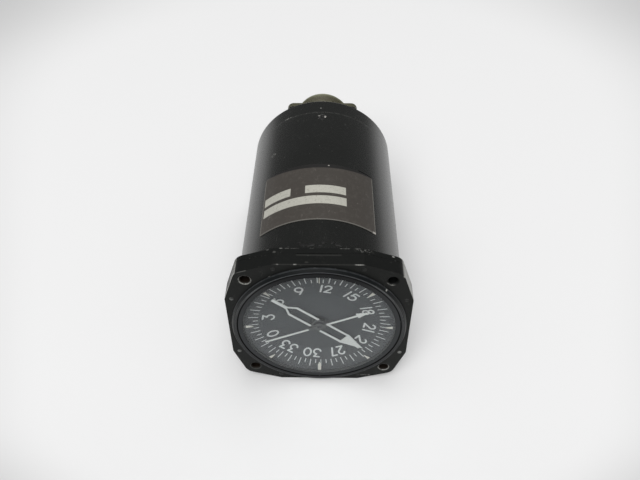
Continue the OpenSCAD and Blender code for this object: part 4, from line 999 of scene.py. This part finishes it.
def thread(material):
    """A helical thread as a sleeve whose radius rises and falls with the pitch."""
    around = 96
    row_step = 0.12
    run_out_len = 0.6
    sunk = 0.25
    wall = 0.2
    rows = int((THREAD_END - THREAD_START) / row_step)
    rings = []
    for row in range(rows + 1):
        y = THREAD_START + (THREAD_END - THREAD_START) * row / rows
        run_out = min(1, (y - THREAD_START) / run_out_len, (THREAD_END - y) / run_out_len)
        ring = []
        for k, turn in enumerate(even_turns(around)):
            phase = (y / THREAD_PITCH + k / around) % 1
            flank = min(1, max(0, 1.5 - 5 * abs(phase - 0.5)))
            radius = SHELL_ROOT_R - sunk + run_out * (sunk + flank * (SHELL_R - SHELL_ROOT_R))
            ring.append(polar(radius, turn, y, CONN_Z))
        rings.append(ring)
    for y in (THREAD_END, THREAD_START):
        rings.append([polar(SHELL_ROOT_R - sunk - wall, turn, y, CONN_Z) for turn in even_turns(around)])
    return lofted("connector_thread", rings, material, smooth=True)


# Window

def window(material):
    """The cover glass with its ground edges, a hair clear of the index ring behind it."""
    edge = 0.15
    middle = 0.001
    profile = [(middle, GLASS_FRONT), (GLASS_R - edge, GLASS_FRONT), (GLASS_R, GLASS_FRONT + edge),
               (GLASS_R, GLASS_REAR - edge), (GLASS_R - edge, GLASS_REAR), (middle, GLASS_REAR)]
    return turned_piece("cover_glass_ground", profile, material)


def glass_edge(material):
    """The black band painted round the edge of the glass, so that no light enters there."""
    depth = 0.25
    profile = [(GLASS_R - depth, GLASS_FRONT + 0.05), (GLASS_R + 0.01, GLASS_FRONT + 0.2),
               (GLASS_R + 0.01, GLASS_REAR - 0.2), (GLASS_R - depth, GLASS_REAR - 0.05)]
    return turned_piece("glass_edge_black", profile, material)


def window_border(material):
    """The dark border round the window, a thin coat on the front of the glass."""
    front = GLASS_FRONT - 0.12
    rear = GLASS_FRONT - 0.01
    profile = [(BORDER_IN_R, rear), (BORDER_IN_R + 0.08, front), (BORDER_OUT_R, front),
               (BORDER_OUT_R, rear)]
    return turned_piece("window_border", profile, material)


# Sealant on the case in front of the nameplate

def sealant(material):
    """Flat uneven dabs that lie on the tube."""
    rng = random.Random(7)
    vertices, faces = [], []
    for _ in range(13):
        angle = rng.uniform(-14, 14)
        y0 = 4.9 + rng.uniform(-1.4, 1.6)
        length = rng.uniform(0.7, 1.9)
        width = rng.uniform(0.5, 1.1)
        height = rng.uniform(0.15, 0.35)
        add_dab(vertices, faces, angle, y0, length, width, height, rng)
    return mesh_piece("sealant_dabs", vertices, faces, material, smooth=True)


def add_dab(vertices, faces, angle, y0, length, width, height, rng):
    """One dab: rings of points from its foot to its top."""
    rings = ((1, -0.05), (0.96, 0.35), (0.75, 0.75), (0.4, 0.95), (0.08, 1))
    around = 16
    wobble = [rng.uniform(0.8, 1.15) for _ in range(around)]
    base = len(vertices)
    for reach, rise in rings:
        for turn, side in zip(even_turns(around), wobble):
            across = length * math.cos(turn) * side * reach
            y = y0 + width * math.sin(turn) * side * reach
            vertices.append(polar(CASE_R + rise * height, math.radians(angle) + across / CASE_R, y))
    for ring in range(len(rings) - 1):
        for k in range(around):
            a = base + ring * around + k
            b = base + ring * around + (k + 1) % around
            faces.append((a, b, b + around, a + around))
    for first in (base, base + (len(rings) - 1) * around):
        faces.append(tuple(range(first, first + around)))


# Floor, lights and camera

def floor_surface():
    """Pale paper, with light falloff painted in: darker towards its far corners and a little darker in
    front, where the lamp is nearer.
    """
    s = Shader("pale_floor")
    width = s.most(s.add(s.times(s.y, 0.37), 162), 60)
    across = s.math("DIVIDE", s.size(s.x), width)
    ends = s.most(s.step(s.y, 120, 460), s.times(s.step(s.y, -15, -80), 0.85))
    painted_falloff = s.add(s.times(across, across, 1.25), s.times(ends, ends))
    # Painted shade: the front is darkened a little to even out the nearer lamp.
    tone = s.mix(s.times(s.step(s.y, 0, -130), 0.5), 0.9, 0.82)
    # Painted shade: darker towards the far corners, as the light falls off.
    tone = s.mix(s.step(painted_falloff, 0.95, 2.4), tone, 0.6)
    tone = s.mix(s.times(s.noise(0.012, 2), 0.1), tone, (0.84, 0.84, 0.85))
    return s.coat(tone, Roughness=0.9, shine=0.1)


def floor():
    """A pale table that the flange and the rear of the case rest on."""
    half = 2500
    slope = 0.01525
    base = -41.3
    corners = [(sx * half, sy * half, base + slope * sy * half) for sx, sy in
               ((-1, -1), (1, -1), (1, 1), (-1, 1))]
    return mesh_piece("floor", corners, [(0, 1, 2, 3)], floor_surface())


def soft_lamp(name, place, aim, size, power):
    data = bpy.data.lights.new(name, "AREA")
    data.shape = "SQUARE"
    data.size = size
    data.energy = power
    lamp = placed(name, data)
    lamp.location = place
    lamp.rotation_euler = (Vector(aim) - Vector(place)).to_track_quat("-Z", "Y").to_euler()


def sky(strength):
    world = bpy.data.worlds.new("studio")
    world.use_nodes = True
    back = world.node_tree.nodes["Background"]
    back.inputs[0].default_value = (1, 1, 1, 1)
    back.inputs[1].default_value = strength
    bpy.context.scene.world = world


def camera():
    """The photograph's viewpoint: where it stands, and how far it looks down, aside and tilted."""
    place = Vector((4.03, -187.02, 228.36)) * MM
    down, aside, tilt = 0.772388, -0.0190654, -0.00665569
    forward = Vector((math.sin(aside) * math.cos(down), math.cos(aside) * math.cos(down), -math.sin(down)))
    level = Vector((math.cos(aside), -math.sin(aside), 0))
    upward = level.cross(forward)
    right = math.cos(tilt) * level + math.sin(tilt) * upward
    up = math.cos(tilt) * upward - math.sin(tilt) * level
    turn = Matrix((right, up, -forward)).transposed()
    data = bpy.data.cameras.new("photo_camera")
    data.sensor_width = 36
    data.lens = 35.22
    data.clip_start = 0.01
    made = placed("photo_camera", data)
    made.matrix_world = Matrix.Translation(place) @ turn.to_4x4()
    bpy.context.scene.camera = made


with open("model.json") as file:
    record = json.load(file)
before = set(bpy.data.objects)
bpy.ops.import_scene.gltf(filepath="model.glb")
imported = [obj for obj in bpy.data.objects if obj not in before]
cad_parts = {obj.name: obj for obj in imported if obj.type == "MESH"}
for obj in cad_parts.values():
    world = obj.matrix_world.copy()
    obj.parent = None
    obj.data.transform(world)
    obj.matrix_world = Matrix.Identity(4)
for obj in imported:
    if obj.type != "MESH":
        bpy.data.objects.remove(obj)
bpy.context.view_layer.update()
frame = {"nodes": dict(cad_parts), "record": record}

materials = finishes()
dress(frame, materials)

card_print = mark_paint("card_print_white", (0.49, 0.5, 0.5), (0.32, 0.33, 0.33))
for piece in (card_numbers(card_print), card_ticks(card_print)):
    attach(piece, "card")

rim = card_rim(materials["card_black"])
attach(rim, "card")

glass = window(materials["window_glass"])
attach(glass, "instrument")
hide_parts("cover_glass")

edge_band = glass_edge(materials["seal_rubber"])
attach(edge_band, "instrument")

border = window_border(border_paint())
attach(border, "instrument")

shell = threaded_shell(frame, materials["olive_drab"])
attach(shell, "instrument")
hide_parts("connector_shell")
shell_thread = thread(materials["olive_drab"])
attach(shell_thread, "instrument")

dabs = sealant(sealant_paint())
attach(dabs, "instrument")

floor()
sky(0.23)
soft_lamp("front_softbox", (-0.9, -4, 5.3), (0, 0.03, 0), 4.8, 360)
soft_lamp("overhead_softbox", (0.2, 0.6, 3), (0, 0.1, 0), 2.2, 24)
camera()
bpy.context.scene.view_settings.view_transform = "Standard"
